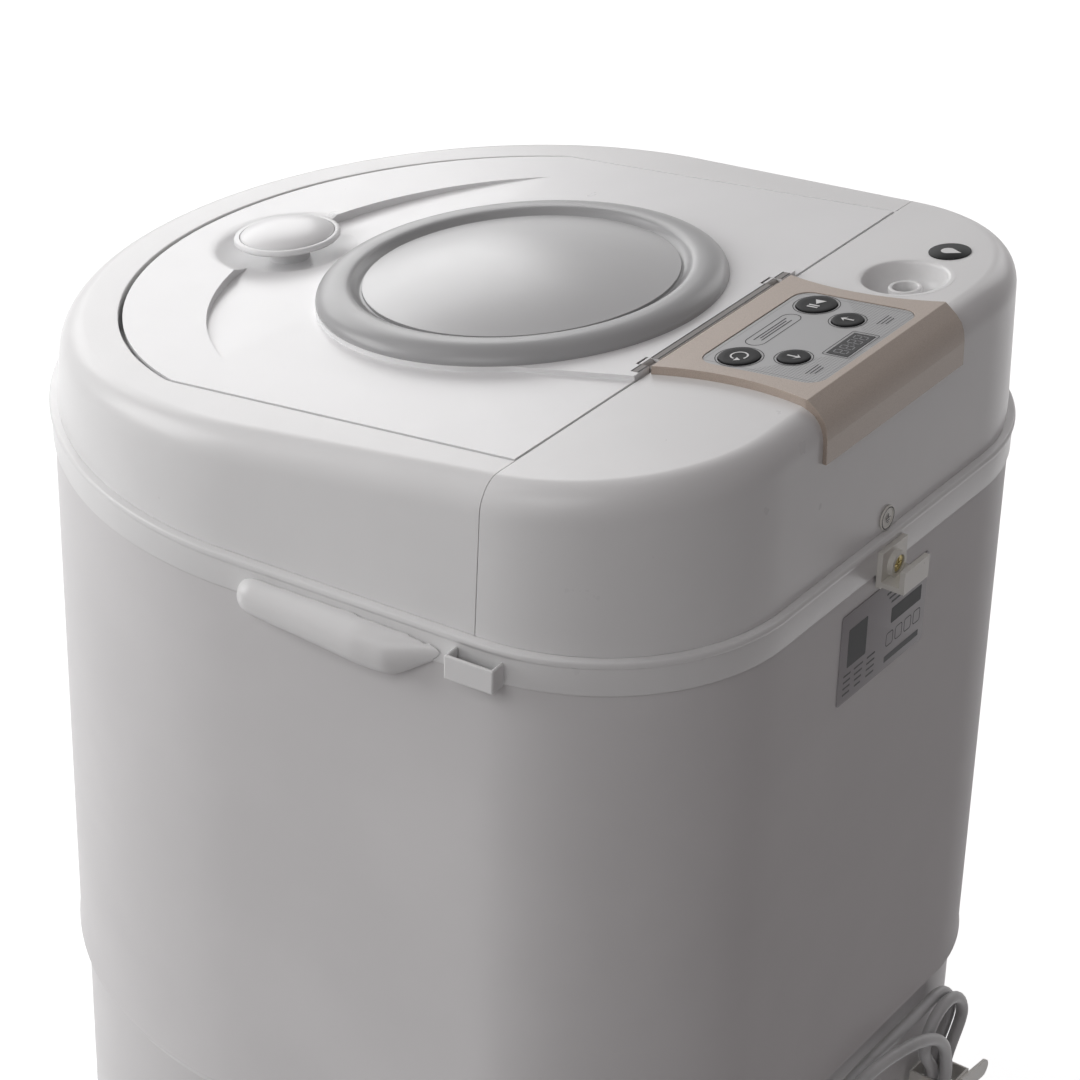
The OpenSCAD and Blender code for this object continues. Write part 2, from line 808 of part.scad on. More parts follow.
module pulsator() {
    color("lightblue")
    translate([0, tub_y, disc_z])
    difference() {
        union() {
            rotate_extrude($fn = 128) polygon([[0, 0], [pulsator_r - 4, 0], [pulsator_r, 3],
                [pulsator_r, 7], [pulsator_r - 5, 8], [0.48 * pulsator_r, 6], [cone_r, 14],
                [cone_r - 12, 24], [0, cone_h]]);
            for (i = [0:fin_count - 1]) {
                rotate([0, 0, i * 360 / fin_count]) translate([cone_r - 6, -fin_w / 2, 5])
                    cube([pulsator_r - cone_r - 8, fin_w, fin_h - 8]);
            }
        }
        translate([0, 0, -1]) cylinder(r = shaft_r, h = shaft_top - disc_z + 1, $fn = 96);
        translate([0, 0, -1]) cylinder(r = 3.4, h = 2 * cone_h, $fn = 32);
        translate([0, 0, cone_h - 2]) cylinder(r = 7, h = 10, $fn = 48);
        for (i = [0:fin_count - 1]) {
            rotate([0, 0, (i + 0.5) * 360 / fin_count]) for (n = [0:3]) {
                translate([pulsator_r * (0.42 + 0.145 * n), 0, -1]) cylinder(r = 3, h = 20, $fn = 24);
            }
        }
    }
}
module pulsator_screw() {
    color("silver")
    translate([0, tub_y, 0]) {
        translate([0, 0, disc_z + cone_h - 2]) cylinder(r = 6.4, h = 3, $fn = 48);
        translate([0, 0, shaft_top - 12])
            cylinder(r = 2.95, h = disc_z + cone_h - 1 - shaft_top + 12, $fn = 32);
    }
}
pulley_h = 18;
belt_h = 8;
belt_t = 6;
function pulley_profile(r, bore) = [[bore, -pulley_h / 2], [r + 4, -pulley_h / 2],
    [r + 4, -belt_h / 2 - 1.5], [r - belt_t / 2 - 0.5, -belt_h / 2 - 0.5],
    [r - belt_t / 2 - 0.5, belt_h / 2 + 0.5], [r + 4, belt_h / 2 + 1.5],
    [r + 4, pulley_h / 2], [bore, pulley_h / 2]];
module tub_pulley() {
    color("darkgray")
    translate([0, tub_y, belt_z])
    difference() {
        rotate_extrude($fn = 128) polygon(pulley_profile(pulley_r, shaft_r));
        for (a = [30:60:330]) {
            rotate([0, 0, a]) translate([pulley_r / 2 + 3, 0, -pulley_h]) cylinder(r = 12, h = 2 * pulley_h, $fn = 48);
        }
    }
}
module pulley_nut() {
    color("silver")
    translate([0, tub_y, belt_z - pulley_h / 2 - 6])
    difference() {
        cylinder(r = 14, h = 6, $fn = 6);
        translate([0, 0, -1]) cylinder(r = shaft_r, h = 8, $fn = 64);
    }
}
module belt_loop(d) {
    hull() {
        translate([0, tub_y]) circle(r = pulley_r + d, $fn = 72);
        translate([0, motor_y]) circle(r = pinion_r + d, $fn = 48);
    }
}
module drive_belt() {
    color("dimgray")
    translate([0, 0, belt_z - belt_h / 2]) linear_extrude(belt_h)
    difference() {
        belt_loop(belt_t / 2);
        belt_loop(-belt_t / 2);
    }
}
motor_z = belt_z + 24;
bracket_plate_t = 3;
grommet_h = 8;
motor_h = seam_z - deck_t - grommet_h - bracket_plate_t - motor_z;
motor_shaft_r = 6;
module motor() {
    color("lightslategray")
    translate([0, motor_y, motor_z])
    difference() {
        union() {
            rotate_extrude($fn = 96) polygon([[0, 0], [motor_r - 12, 0], [motor_r - 4, 8], [motor_r - 4, 20],
                [motor_r, 22], [motor_r, motor_h - 26], [motor_r - 4, motor_h - 24], [motor_r - 4, motor_h - 10],
                [motor_r - 14, motor_h], [0, motor_h]]);
        }
        translate([0, 0, -1]) cylinder(r = motor_shaft_r + run_gap, h = motor_h - 20, $fn = 64);
    }
}
module motor_shaft() {
    color("silver")
    translate([0, motor_y, belt_z - 14])
        cylinder(r = motor_shaft_r, h = motor_z + motor_h - 24 - belt_z + 14, $fn = 64);
}
module motor_pulley() {
    color("darkgray")
    translate([0, motor_y, belt_z]) rotate_extrude($fn = 96) polygon(pulley_profile(pinion_r, motor_shaft_r));
}
bracket_plate_z = motor_z + motor_h;
mount_x = motor_r - 2;
mount_y = mount_x - 8;
mount_edge = 12;
grommet_r = 9;
module motor_bracket() {
    color("silver")
    translate([-mount_x - mount_edge, motor_y - mount_y - mount_edge, bracket_plate_z])
        cube([2 * (mount_x + mount_edge), 2 * (mount_y + mount_edge), bracket_plate_t]);
}
module motor_grommets() {
    color("dimgray")
    for (sx = [-1, 1]) {
        for (sy = [-1, 1]) {
            translate([sx * mount_x, motor_y + sy * mount_y, bracket_plate_z + bracket_plate_t])
                cylinder(r = grommet_r, h = grommet_h, $fn = 32);
        }
    }
}
capacitor_r = 19;
capacitor_h = 66;
module run_capacitor() {
    color("lightgray")
    translate([-motor_r - 60, motor_y - 20, seam_z - deck_t - capacitor_h])
        cylinder(r = capacitor_r, h = capacitor_h, $fn = 48);
}

lid_rear = console_back - 0.6;
knuckle_x = 61;
lug_gap = 0.5;
rod_run = 0.06;
scoop_ball = (scoop_r * scoop_r + scoop_d * scoop_d) / (2 * scoop_d);
step_hinge = step_r / 2;
step_angle = atan2(step_d, step_r - step_hinge);
ring_hole = groove_r - 1.8;
// Everything above the sloping floor of the front step, lowered by d
module above_step(d) {
    translate([0, -step_hinge, -d]) rotate([step_angle, 0, 0])
        translate([-big / 2, -big, 0]) cube([big, big, 60]);
}
module lid() {
    color("whitesmoke")
    on_lid()
    difference() {
        union() {
            difference() {
                union() {
                    lid_prism(0, -lid_t, 0, lid_rear);
                    intersection() {
                        translate([0, 0, -20]) cylinder(r = step_r + lid_t, h = 20, $fn = 160);
                        above_step(lid_t);
                        translate([-big / 2, -big - step_hinge + 4, -20]) cube([big, big, 20]);
                    }
                    intersection() {
                        translate([0, -knob_ahead, scoop_ball - scoop_d]) sphere(r = scoop_ball + lid_t, $fn = 128);
                        translate([0, -knob_ahead, -20]) cylinder(r = scoop_r + 4, h = 20, $fn = 96);
                        lid_prism(-3, -20, 0, lid_rear);
                    }
                    difference() {
                        lid_prism(-4, -9, -lid_t + thin, 92);
                        lid_prism(-6.5, -10, 0, 110);
                    }
                }
                intersection() {
                    translate([0, 0, -20]) cylinder(r = step_r, h = 40, $fn = 160);
                    above_step(0);
                }
                translate([0, -knob_ahead, scoop_ball - scoop_d]) sphere(r = scoop_ball, $fn = 128);
            }
            cylinder(r = ring_r + 0.5, h = panel_h, $fn = 160);
            linear_extrude(panel_h) polygon([[-ring_r + 4, 12], [ring_r - 4, 12],
                [panel_half, lid_rear], [-panel_half, lid_rear]]);
            translate([0, hinge_back, -hinge_deep]) rotate([0, 90, 0])
                cylinder(r = lug_r, h = 2 * (knuckle_x + lug_w), center = true, $fn = 48);
        }
        for (s = [-1, 1]) {
            translate([s * (lug_x + lug_w / 2) - lug_w / 2 - lug_gap, hinge_back - lug_r - lug_gap, -10])
                cube([lug_w + 2 * lug_gap, 20, 20]);
        }
        translate([0, 0, -20]) cylinder(r = ring_hole + 0.2, h = 40, $fn = 160);
        translate([0, hinge_back, -hinge_deep]) rotate([0, 90, 0])
            cylinder(r = rod_r + rod_run, h = 2 * (knuckle_x + lug_w) + 2, center = true, $fn = 48);
    }
}
ring_floor = 8;
crown_w = 10.8;
seat_t = 2.8;
dome_r = groove_r - 5.5;
dome_seat = dome_r - 3.5;
module lid_ring() {
    color("gainsboro")
    on_lid() rotate_extrude($fn = 160) polygon([[dome_seat, ring_floor - seat_t],
        [ring_hole - 3, ring_floor - seat_t], [ring_hole - 3, 0.4], [ring_hole, 0.4], [ring_hole, panel_h],
        [ring_r, panel_h], [ring_r - 0.3, 4.5], [ring_r - 1.8, 6.8], [ring_r - 4.3, 9],
        [ring_r - 7.5, crown_w - 0.4], [ring_r - 11, crown_w], [ring_r - 15, crown_w - 0.1],
        [groove_r + 0.6, crown_w - 0.6], [groove_r, crown_w - 1.1], [groove_r - 0.3, ring_floor],
        [dome_seat, ring_floor]]);
}
dome_ball = (dome_r * dome_r + dome_h * dome_h) / (2 * dome_h);
dome_t = 2.4;
module lid_dome() {
    color("lightgray")
    on_lid() translate([0, 0, ring_floor])
    intersection() {
        translate([0, 0, dome_h - dome_ball])
        difference() {
            sphere(r = dome_ball, $fn = 160);
            sphere(r = dome_ball - dome_t, $fn = 160);
        }
        cylinder(r = dome_r, h = 30, $fn = 160);
    }
}
rim_w = 2;
rim_t = 3.4;
cap_r = 25.3;
module knob_base() {
    color("whitesmoke")
    on_lid() translate([0, -knob_ahead, 0])
    difference() {
        union() {
            translate([0, 0, -scoop_d + 0.6]) cylinder(r = 11, h = scoop_d + rim_w, $fn = 64);
            translate([0, 0, rim_w]) rotate_extrude($fn = 96) polygon([[0, 0], [knob_r - 2, 0], [knob_r, 1.2],
                [knob_r, 2.4], [knob_r - 1, rim_t], [0, rim_t]]);
        }
        translate([0, 0, rim_w + 1.6]) cylinder(r = cap_r + 0.2, h = 10, $fn = 96);
    }
}
module knob_cap() {
    color("whitesmoke")
    on_lid() translate([0, -knob_ahead, rim_w + 1.6]) rotate_extrude($fn = 96)
        polygon([[0, 0], [cap_r, 0], [cap_r, 2.2], [cap_r - 2.5, 3.8], [cap_r - 9, 5.2], [12, 6], [0, 6.4]]);
}
module hinge_rod() {
    color("dimgray")
    on_lid() translate([0, hinge_back, -hinge_deep]) rotate([0, 90, 0])
        cylinder(r = rod_r, h = 2 * (knuckle_x + lug_w), center = true, $fn = 48);
}

// Mains lead: it runs along the back, goes into a tied hank and ends in a plug
cord_r = 3.5;
cord_y = back_y + 4.3;
cord_z = 194.5;
layer_step = 7.8;
outlet_x = 100;
outlet_z = 170;
relief_end = 68;
hank_x = -92;
loop_rings = 24;
hank_rings = 44;
end_r = 21;
low_z = 26;
high_z = cord_z - end_r;
tie_z = 141;
waist_x = 4.2;
corner_rings = 3;
run_rings = 6;
function smooth(t) = t <= 0 ? 0 : t >= 1 ? 1 : t * t * (3 - 2 * t);
function layer(i) = let (k = i % loop_rings)
    cord_y + layer_step * (floor(i / loop_rings) + smooth((k - 3 * corner_rings - run_rings) / run_rings));
function spread(z) = z > tie_z ? smooth((z - tie_z) / (high_z - tie_z)) : smooth((tie_z - z) / (tie_z - low_z));
function strand_x(z) = waist_x + (end_r - waist_x) * spread(z);
function hank_point(i) =
    let (k = i % loop_rings, y = layer(i),
        down = (k - corner_rings) / run_rings,
        bottom = (k - corner_rings - run_rings) / (2 * corner_rings),
        up = (k - 3 * corner_rings - run_rings) / run_rings,
        top = (k - 3 * corner_rings - 2 * run_rings) / corner_rings,
        zd = high_z + (low_z - high_z) * down,
        zu = low_z + (high_z - low_z) * up)
    k < corner_rings
        ? [hank_x - end_r * sin(90 * k / corner_rings), y, high_z + end_r * cos(90 * k / corner_rings)]
    : down <= 1 ? [hank_x - strand_x(zd), y, zd]
    : bottom <= 1 ? [hank_x - end_r * cos(180 * bottom), y, low_z - end_r * sin(180 * bottom)]
    : up <= 1 ? [hank_x + strand_x(zu), y, zu]
    : [hank_x + end_r * cos(90 * top), y, high_z + end_r * sin(90 * top)];
plug_at = [155, 252, 7];
hank_start = [hank_x + 2 * cord_r, cord_y, cord_z];
hank_last = hank_point(hank_rings);
hank_end = hank_last + 2 * cord_r * unit(hank_last - hank_point(hank_rings - 1));
hank_path = concat([hank_start], [for (i = [0:hank_rings]) hank_point(i)], [hank_end]);
lead_path = [[relief_end, cord_y, outlet_z], [61, cord_y, outlet_z], [50, cord_y, 172], [38, cord_y, 177],
    [26, cord_y, 184], [13, cord_y, 190], [-2, cord_y, 193.5], [-18, cord_y, cord_z], [-35, cord_y, cord_z],
    [-52, cord_y, cord_z], [-69, cord_y, cord_z], hank_start];
tail_path = concat([hank_end], [[-81, 248.5, 168], [-76, 249, 178.5], [-68, 249, 187.5],
    [-57, 248.5, 194.5], [-44, 247.5, 199.5], [-29, 246, 202.5], [-13, 244, 203.5], [3, 242.5, 203],
    [17, 241.5, 199.5], [29, 241, 192], [38, 241, 181], [44, 241.5, 167], [47, 242, 152], [48.5, 243, 135],
    [49.5, 244, 118], [50.5, 245, 101], [52.5, 246, 84], [57, 247, 67.5], [65, 248.5, 52], [76, 250, 38],
    [90, 251, 26], [106, 252, 16], [123, 252, 9.5], [139, 252, 7], plug_at]);
function unit(v) = v / norm(v);
function heading(p, i) = unit(i == 0 ? p[1] - p[0] : i == len(p) - 1 ? p[i] - p[i - 1]
    : unit(p[i + 1] - p[i]) + unit(p[i] - p[i - 1]));
function ring_at(p, i, r, n) =
    let (t = heading(p, i), across = unit(cross(t, [0, 1, 0])), along = cross(t, across))
    [for (k = [0:n - 1]) p[i] + r * (cos(360 * k / n) * across + sin(360 * k / n) * along)];
module tube(p, r, n) {
    points = [for (i = [0:len(p) - 1]) each ring_at(p, i, r, n)];
    side = [for (i = [0:len(p) - 2]) for (k = [0:n - 1]) each [
        [i * n + k, i * n + (k + 1) % n, (i + 1) * n + (k + 1) % n],
        [i * n + k, (i + 1) * n + (k + 1) % n, (i + 1) * n + k]]];
    first = [for (k = [1:n - 2]) [0, k + 1, k]];
    end = (len(p) - 1) * n;
    last = [for (k = [1:n - 2]) [end, end + k, end + k + 1]];
    polyhedron(points, concat(side, first, last));
}
hank_gap = min([for (i = [0:len(hank_path) - 1]) for (j = [i + 8:1:len(hank_path) - 1])
    norm(hank_path[i] - hank_path[j])]) - 2 * cord_r;
function path_length(p, i = 0) = i >= len(p) - 1 ? 0 : norm(p[i + 1] - p[i]) + path_length(p, i + 1);
echo(hank_gap = hank_gap);
echo(cord_length = path_length(lead_path) + path_length(hank_path) + path_length(tail_path));
module power_cord() {
    color("gainsboro") tube(lead_path, cord_r, 8);
}
module cord_hank() {
    color("gainsboro") tube(hank_path, cord_r, 6);
}
module cord_tail() {
    color("gainsboro") tube(tail_path, cord_r, 8);
}
outlet_w = 20;
outlet_h = 20;
outlet_out = 15;
module cord_outlet() {
    color("gainsboro")
    translate([outlet_x - outlet_w / 2, back_y - base_in, outlet_z - outlet_h / 2])
        cube([outlet_w, outlet_out, outlet_h]);
}
module strain_relief() {
    color("gainsboro")
    translate([outlet_x - outlet_w / 2, cord_y, outlet_z]) rotate([0, -90, 0])
        cylinder(r1 = 6, r2 = 4.6, h = outlet_x - outlet_w / 2 - relief_end, $fn = 32);
}
tie_h = 12;
tie_t = 1.2;
tie_half = waist_x + cord_r + 2;
tie_y0 = cord_y - cord_r - 0.4;
tie_y1 = cord_y + 2 * layer_step + cord_r + 0.4;
tongue_l = 27;
tongue_r = 5.5;
module cord_tie() {
    color("ghostwhite")
    translate([hank_x, 0, tie_z]) {
        translate([0, 0, -tie_h / 2])
        difference() {
            translate([-tie_half - tie_t, tie_y0 - tie_t, 0])
                cube([2 * (tie_half + tie_t), tie_y1 - tie_y0 + 2 * tie_t, tie_h]);
            translate([-tie_half, tie_y0, -1]) cube([2 * tie_half, tie_y1 - tie_y0, tie_h + 2]);
        }
        translate([0, tie_y1 + tie_t - 0.2, 0]) rotate([0, -8, 0]) {
            translate([-tongue_l, 0, -tongue_r]) cube([tongue_l, 1.8, 2 * tongue_r]);
            translate([-tongue_l, 0, 0]) rotate([-90, 0, 0]) cylinder(r = tongue_r, h = 1.8, $fn = 32);
        }
    }
}
plug_l = 34;
module power_plug() {
    color("gainsboro")
    translate(plug_at) {
        rotate([0, 90, 0]) cylinder(r1 = 4.6, r2 = 6.4, h = 14, $fn = 32);
        translate([13, 0, -6.9]) linear_extrude(13.8) polygon([[0, -6], [6, -8], [16, -17], [plug_l - 13, -17.5],
            [plug_l - 13, 17.5], [16, 17], [6, 8], [0, 6]]);
        for (s = [-1, 1]) {
            translate([plug_l - 1, s * 9.5, 0]) rotate([0, 90, 0]) cylinder(r = 2.2, h = 19, $fn = 24);
        }
    }
}

front_frame();
console_housing();
trim_band();
hand_grips();
hose_bracket();
body_shell();
base_skirt();
base_cover();
rubber_feet();
foot_screws();
rear_hook();
hook_screw();
earth_mark();
rating_plate();
control_bezel();
overlay_panel();
display_window();
program_button();
start_button();
time_up_button();
time_down_button();
control_board();
board_screws();
inlet_spigot();
inlet_duct();
inlet_badge();
wash_tub();
tub_stand();
drain_pipe();
bearing_housing();
shaft_bearings();
water_seal();
drive_shaft();
pulsator();
pulsator_screw();
tub_pulley();
pulley_nut();
drive_belt();
motor();
motor_shaft();
motor_pulley();
motor_bracket();
motor_grommets();
run_capacitor();
lid();
lid_ring();
lid_dome();
knob_base();
knob_cap();
hinge_rod();
cord_outlet();
strain_relief();
power_cord();
cord_hank();
cord_tail();
cord_tie();
power_plug();
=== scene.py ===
"""Looks of a compact washing machine with a sloping round lid and a console at the back.

Sizes are in millimetres in each class, and a mesh becomes metres when it is finished.
"""

import json
import logging
import math
from collections.abc import Callable, Iterable, Sequence
from dataclasses import dataclass, field
from enum import Enum
from functools import partial

import bmesh
import bpy
from mathutils import Matrix, Vector


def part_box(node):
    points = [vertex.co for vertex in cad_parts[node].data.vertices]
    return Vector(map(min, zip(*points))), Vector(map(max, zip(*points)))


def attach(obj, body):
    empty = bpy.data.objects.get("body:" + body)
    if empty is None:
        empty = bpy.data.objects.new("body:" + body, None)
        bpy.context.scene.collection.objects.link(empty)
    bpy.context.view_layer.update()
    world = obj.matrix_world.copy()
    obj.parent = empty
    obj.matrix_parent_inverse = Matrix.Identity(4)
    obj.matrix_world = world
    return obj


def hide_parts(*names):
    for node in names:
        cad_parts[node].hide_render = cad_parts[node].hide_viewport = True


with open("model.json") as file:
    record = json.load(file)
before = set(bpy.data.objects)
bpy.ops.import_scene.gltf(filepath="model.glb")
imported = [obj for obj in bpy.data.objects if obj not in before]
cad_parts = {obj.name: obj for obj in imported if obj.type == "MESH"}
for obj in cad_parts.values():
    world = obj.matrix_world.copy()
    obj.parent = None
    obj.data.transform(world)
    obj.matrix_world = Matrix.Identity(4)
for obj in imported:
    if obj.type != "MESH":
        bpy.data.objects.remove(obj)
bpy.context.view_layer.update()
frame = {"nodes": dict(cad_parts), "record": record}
LOG = logging.getLogger("washer")

MM = 0.001
TILT = math.radians(7.0)
AXIS_Y = 6.0
LID_H = 600.0
BACK_Y = 228.0
SEAM_Z = 205.0
TRIM_Z = 516.0
TRIM_TOP = 535.0
CONSOLE_BACK = 119.0
ROOT = Matrix.Scale(MM, 4)
LID = Matrix.Translation((0.0, AXIS_Y * MM, LID_H * MM)) @ Matrix.Rotation(TILT, 4, "X") @ ROOT

MACHINE = "machine"
LID_BODY = "lid_body"

Pair = tuple[float, float]
Triple = tuple[float, float, float]


class Sheen(Enum):
    """Roughness of a moulded or painted face."""

    MATTE = 0.6
    SATIN = 0.42
    SOFT = 0.3
    POLISHED = 0.22
    GLOSS = 0.16


class Sig:
    """One value on its way through a material, with Python's own arithmetic."""

    def __init__(self, maker: "Maker", socket: bpy.types.NodeSocket) -> None:
        """Keeps the socket and the maker that owns its nodes."""
        self.maker = maker
        self.socket = socket

    def math(self, operation: str, other: "Sig | float" = 0.0, swap: bool = False) -> "Sig":
        """Adds a Math node.

        Args:
            operation: the node's operation.
            other: the second value.
            swap: whether the other value comes first.

        Returns:
            The node's value.
        """
        first, second = (other, self) if swap else (self, other)
        return self.maker.node("ShaderNodeMath", {"operation": operation}, {0: first, 1: second})

    def __add__(self, other: "Sig | float") -> "Sig":
        """Sum."""
        return self.math("ADD", other)

    __radd__ = __add__

    def __mul__(self, other: "Sig | float") -> "Sig":
        """Product."""
        return self.math("MULTIPLY", other)

    __rmul__ = __mul__

    def __sub__(self, other: "Sig | float") -> "Sig":
        """Difference."""
        return self.math("SUBTRACT", other)

    def __rsub__(self, other: float) -> "Sig":
        """Difference from a number."""
        return self.math("SUBTRACT", other, swap=True)

    def __truediv__(self, other: "Sig | float") -> "Sig":
        """Quotient."""
        return self.math("DIVIDE", other)

    def __abs__(self) -> "Sig":
        """Size without its sign."""
        return self.math("ABSOLUTE")

    def most(self, other: "Sig | float") -> "Sig":
        """The larger of two values."""
        return self.math("MAXIMUM", other)

    def step(self, low: float, high: float) -> "Sig":
        """Rises smoothly from 0 at low to 1 at high."""
        settings = {"interpolation_type": "SMOOTHSTEP"}
        return self.maker.node("ShaderNodeMapRange", settings, {0: self, 1: low, 2: high})

    def output(self, name: str) -> "Sig":
        """Another output of the same node."""
        return Sig(self.maker, self.socket.node.outputs[name])


class Maker:
    """Builds the nodes of one material or of the world."""

    def __init__(self, owner: bpy.types.Material | bpy.types.World) -> None:
        """Starts with an empty node tree."""
        owner.use_nodes = True
        self.tree = owner.node_tree
        self.tree.nodes.clear()

    def node(
        self,
        kind: str,
        settings: dict[str, object] | None = None,
        inputs: dict[int | str, object] | None = None,
        out: int | str = 0,
    ) -> Sig:
        """Adds one node.

        Args:
            kind: the node's type.
            settings: its own settings, set first; "stops" holds a ramp's stops.
            inputs: values or links of its sockets, by index or name.
            out: the output that is wanted.

        Returns:
            The value of that output.
        """
        made = self.tree.nodes.new(kind)
        for key, value in (settings or {}).items():
            if key == "stops":
                ramp = made.color_ramp
                while len(ramp.elements) < len(value):
                    ramp.elements.new(0.5)
                for element, (place, colour) in zip(ramp.elements, value):
                    element.position, element.color = place, colour
            else:
                setattr(made, key, value)
        for key, value in (inputs or {}).items():
            if isinstance(value, Sig):
                self.tree.links.new(value.socket, made.inputs[key])
            else:
                made.inputs[key].default_value = value
        return Sig(self, made.outputs[out])

    def place(self) -> Sig:
        """Object coordinates, in metres."""
        return self.node("ShaderNodeTexCoord", out="Object")

    def mapped(self, origin: Triple, turn: Triple = (0.0, 0.0, 0.0)) -> tuple[Sig, Sig, Sig]:
        """Millimetre coordinates about a place of the machine.

        Args:
            origin: the place, in metres.
            turn: the frame's rotation there.

        Returns:
            The three coordinates.
        """
        inputs = {0: self.place(), 1: origin, 2: turn, 3: (MM, MM, MM)}
        local = self.node("ShaderNodeMapping", {"vector_type": "TEXTURE"}, inputs)
        split = self.node("ShaderNodeSeparateXYZ", None, {0: local})
        return split, split.output("Y"), split.output("Z")

    def on_lid(self) -> tuple[Sig, Sig, Sig]:
        """Millimetre coordinates in the sloping plane."""
        return self.mapped((0.0, AXIS_Y * MM, LID_H * MM), (TILT, 0.0, 0.0))

    def noise(self, scale: float, detail: float = 2.0, stretch: Triple | None = None) -> Sig:
        """Even noise round one half.

        Args:
            scale: how many features stand on a metre.
            detail: how many finer layers it has.
            stretch: its scale along each axis.

        Returns:
            The noise.
        """
        where = self.place()
        if stretch:
            where = self.node("ShaderNodeMapping", None, {0: where, 3: stretch})
        inputs = {"Vector": where, "Scale": scale, "Detail": detail}
        return self.node("ShaderNodeTexNoise", None, inputs)

    def mix(self, share: Sig | float, first: object, second: object) -> Sig:
        """A colour between two.

        Args:
            share: the second colour's share.
            first: a colour or its value.
            second: a colour or its value.

        Returns:
            The mixed colour.
        """
        inputs = {0: share, 6: shade(first), 7: shade(second)}
        return self.node("ShaderNodeMix", {"data_type": "RGBA"}, inputs, 2)

    def bump(self, height: Sig, depth: float, strength: float = 1.0) -> Sig:
        """A normal from a height of 0 to 1 that stands for depth metres."""
        inputs = {"Strength": strength, "Distance": depth, "Height": height}
        return self.node("ShaderNodeBump", None, inputs)

    def seen(self) -> Sig:
        """1 for what the camera sees, straight or in a reflection, and 0 for light from the room."""
        path = self.node("ShaderNodeLightPath", out="Is Camera Ray")
        return path.most(path.output("Is Glossy Ray")).most(path.output("Is Transmission Ray"))

    def surface(self, **inputs: object) -> None:
        """Closes the tree with the main shader, given its sockets with underscores for blanks."""
        named = {key.replace("_", " "): value for key, value in inputs.items()}
        self.close(self.node("ShaderNodeBsdfPrincipled", None, named))

    def close(self, shader: Sig, kind: str = "ShaderNodeOutputMaterial") -> None:
        """Joins a shader to the tree's output."""
        made = self.tree.nodes.new(kind)
        self.tree.links.new(shader.socket, made.inputs["Surface"])


def shade(colour: object) -> object:
    """A colour with its alpha, or the value as it is."""
    return (*colour, 1.0) if isinstance(colour, tuple) and len(colour) == 3 else colour


def tint(colour: Triple, share: float) -> Triple:
    """The colour made lighter or darker by a share."""
    return tuple(min(1.0, part * (1.0 + share)) for part in colour)


@dataclass(frozen=True)
class Moulding:
    """Moulded or painted plastic with a faint orange peel, cloudy colour and handled gloss."""

    name: str
    colour: Triple
    sheen: Sheen = Sheen.GLOSS
    peel: float = 0.012
    grain: float = 260.0
    cloud: float = 0.02
    handled: float = 0.08
    shine: float = 0.5

    def build(self, made: Maker) -> None:
        """Makes the material's nodes.

        Args:
            made: the material's maker.
        """
        wide = made.noise(9.0, 3.0)
        near = made.noise(70.0, 4.0)
        dark, pale = tint(self.colour, -self.cloud), tint(self.colour, self.cloud)
        colour = made.mix(wide.step(0.35, 0.65), dark, pale)
        rough = self.sheen.value + (near - 0.5) * self.handled + (wide - 0.5) * self.handled
        normal = made.bump(made.noise(self.grain, 2.0), self.peel * MM)
        made.surface(
            Base_Color=colour, Roughness=rough, Normal=normal, Specular_IOR_Level=self.shine
        )


@dataclass(frozen=True)
class Metal:
    """Bare metal with drawn or ground lines and small changes of gloss."""

    name: str
    colour: Triple
    rough: float = 0.35
    lines: Triple = (1.0, 1.0, 14.0)

    def build(self, made: Maker) -> None:
        """Makes the material's nodes.

        Args:
            made: the material's maker.
        """
        streak = made.noise(420.0, 2.0, self.lines)
        stain = made.noise(60.0, 4.0)
        colour = made.mix(stain.step(0.3, 0.7), tint(self.colour, -0.16), tint(self.colour, 0.08))
        rough = self.rough + (streak - 0.5) * 0.22 + (stain - 0.5) * 0.2
        made.surface(
            Base_Color=colour, Metallic=1.0, Roughness=rough, Normal=made.bump(streak, 0.03 * MM)
        )


@dataclass(frozen=True)
class MetallicPaint:
    """Clear-coated paint with fine flakes, as on the control bezel."""

    name: str
    colour: Triple

    def build(self, made: Maker) -> None:
        """Makes the material's nodes.

        Args:
            made: the material's maker.
        """
        flake = made.node("ShaderNodeTexVoronoi", None, {"Vector": made.place(), "Scale": 2600.0})
        cloud = made.noise(14.0, 3.0)
        colour = made.mix(flake.step(0.2, 0.7), tint(self.colour, 0.1), tint(self.colour, -0.07))
        colour = made.mix((cloud - 0.3) * 0.3, colour, tint(self.colour, -0.12))
        rough = 0.34 + (flake - 0.4) * 0.12 + (cloud - 0.5) * 0.1
        made.surface(
            Base_Color=colour, Metallic=0.1, Roughness=rough, Specular_IOR_Level=0.35,
            Normal=made.bump(flake, 0.006 * MM), Coat_Weight=0.15, Coat_Roughness=0.15,
        )


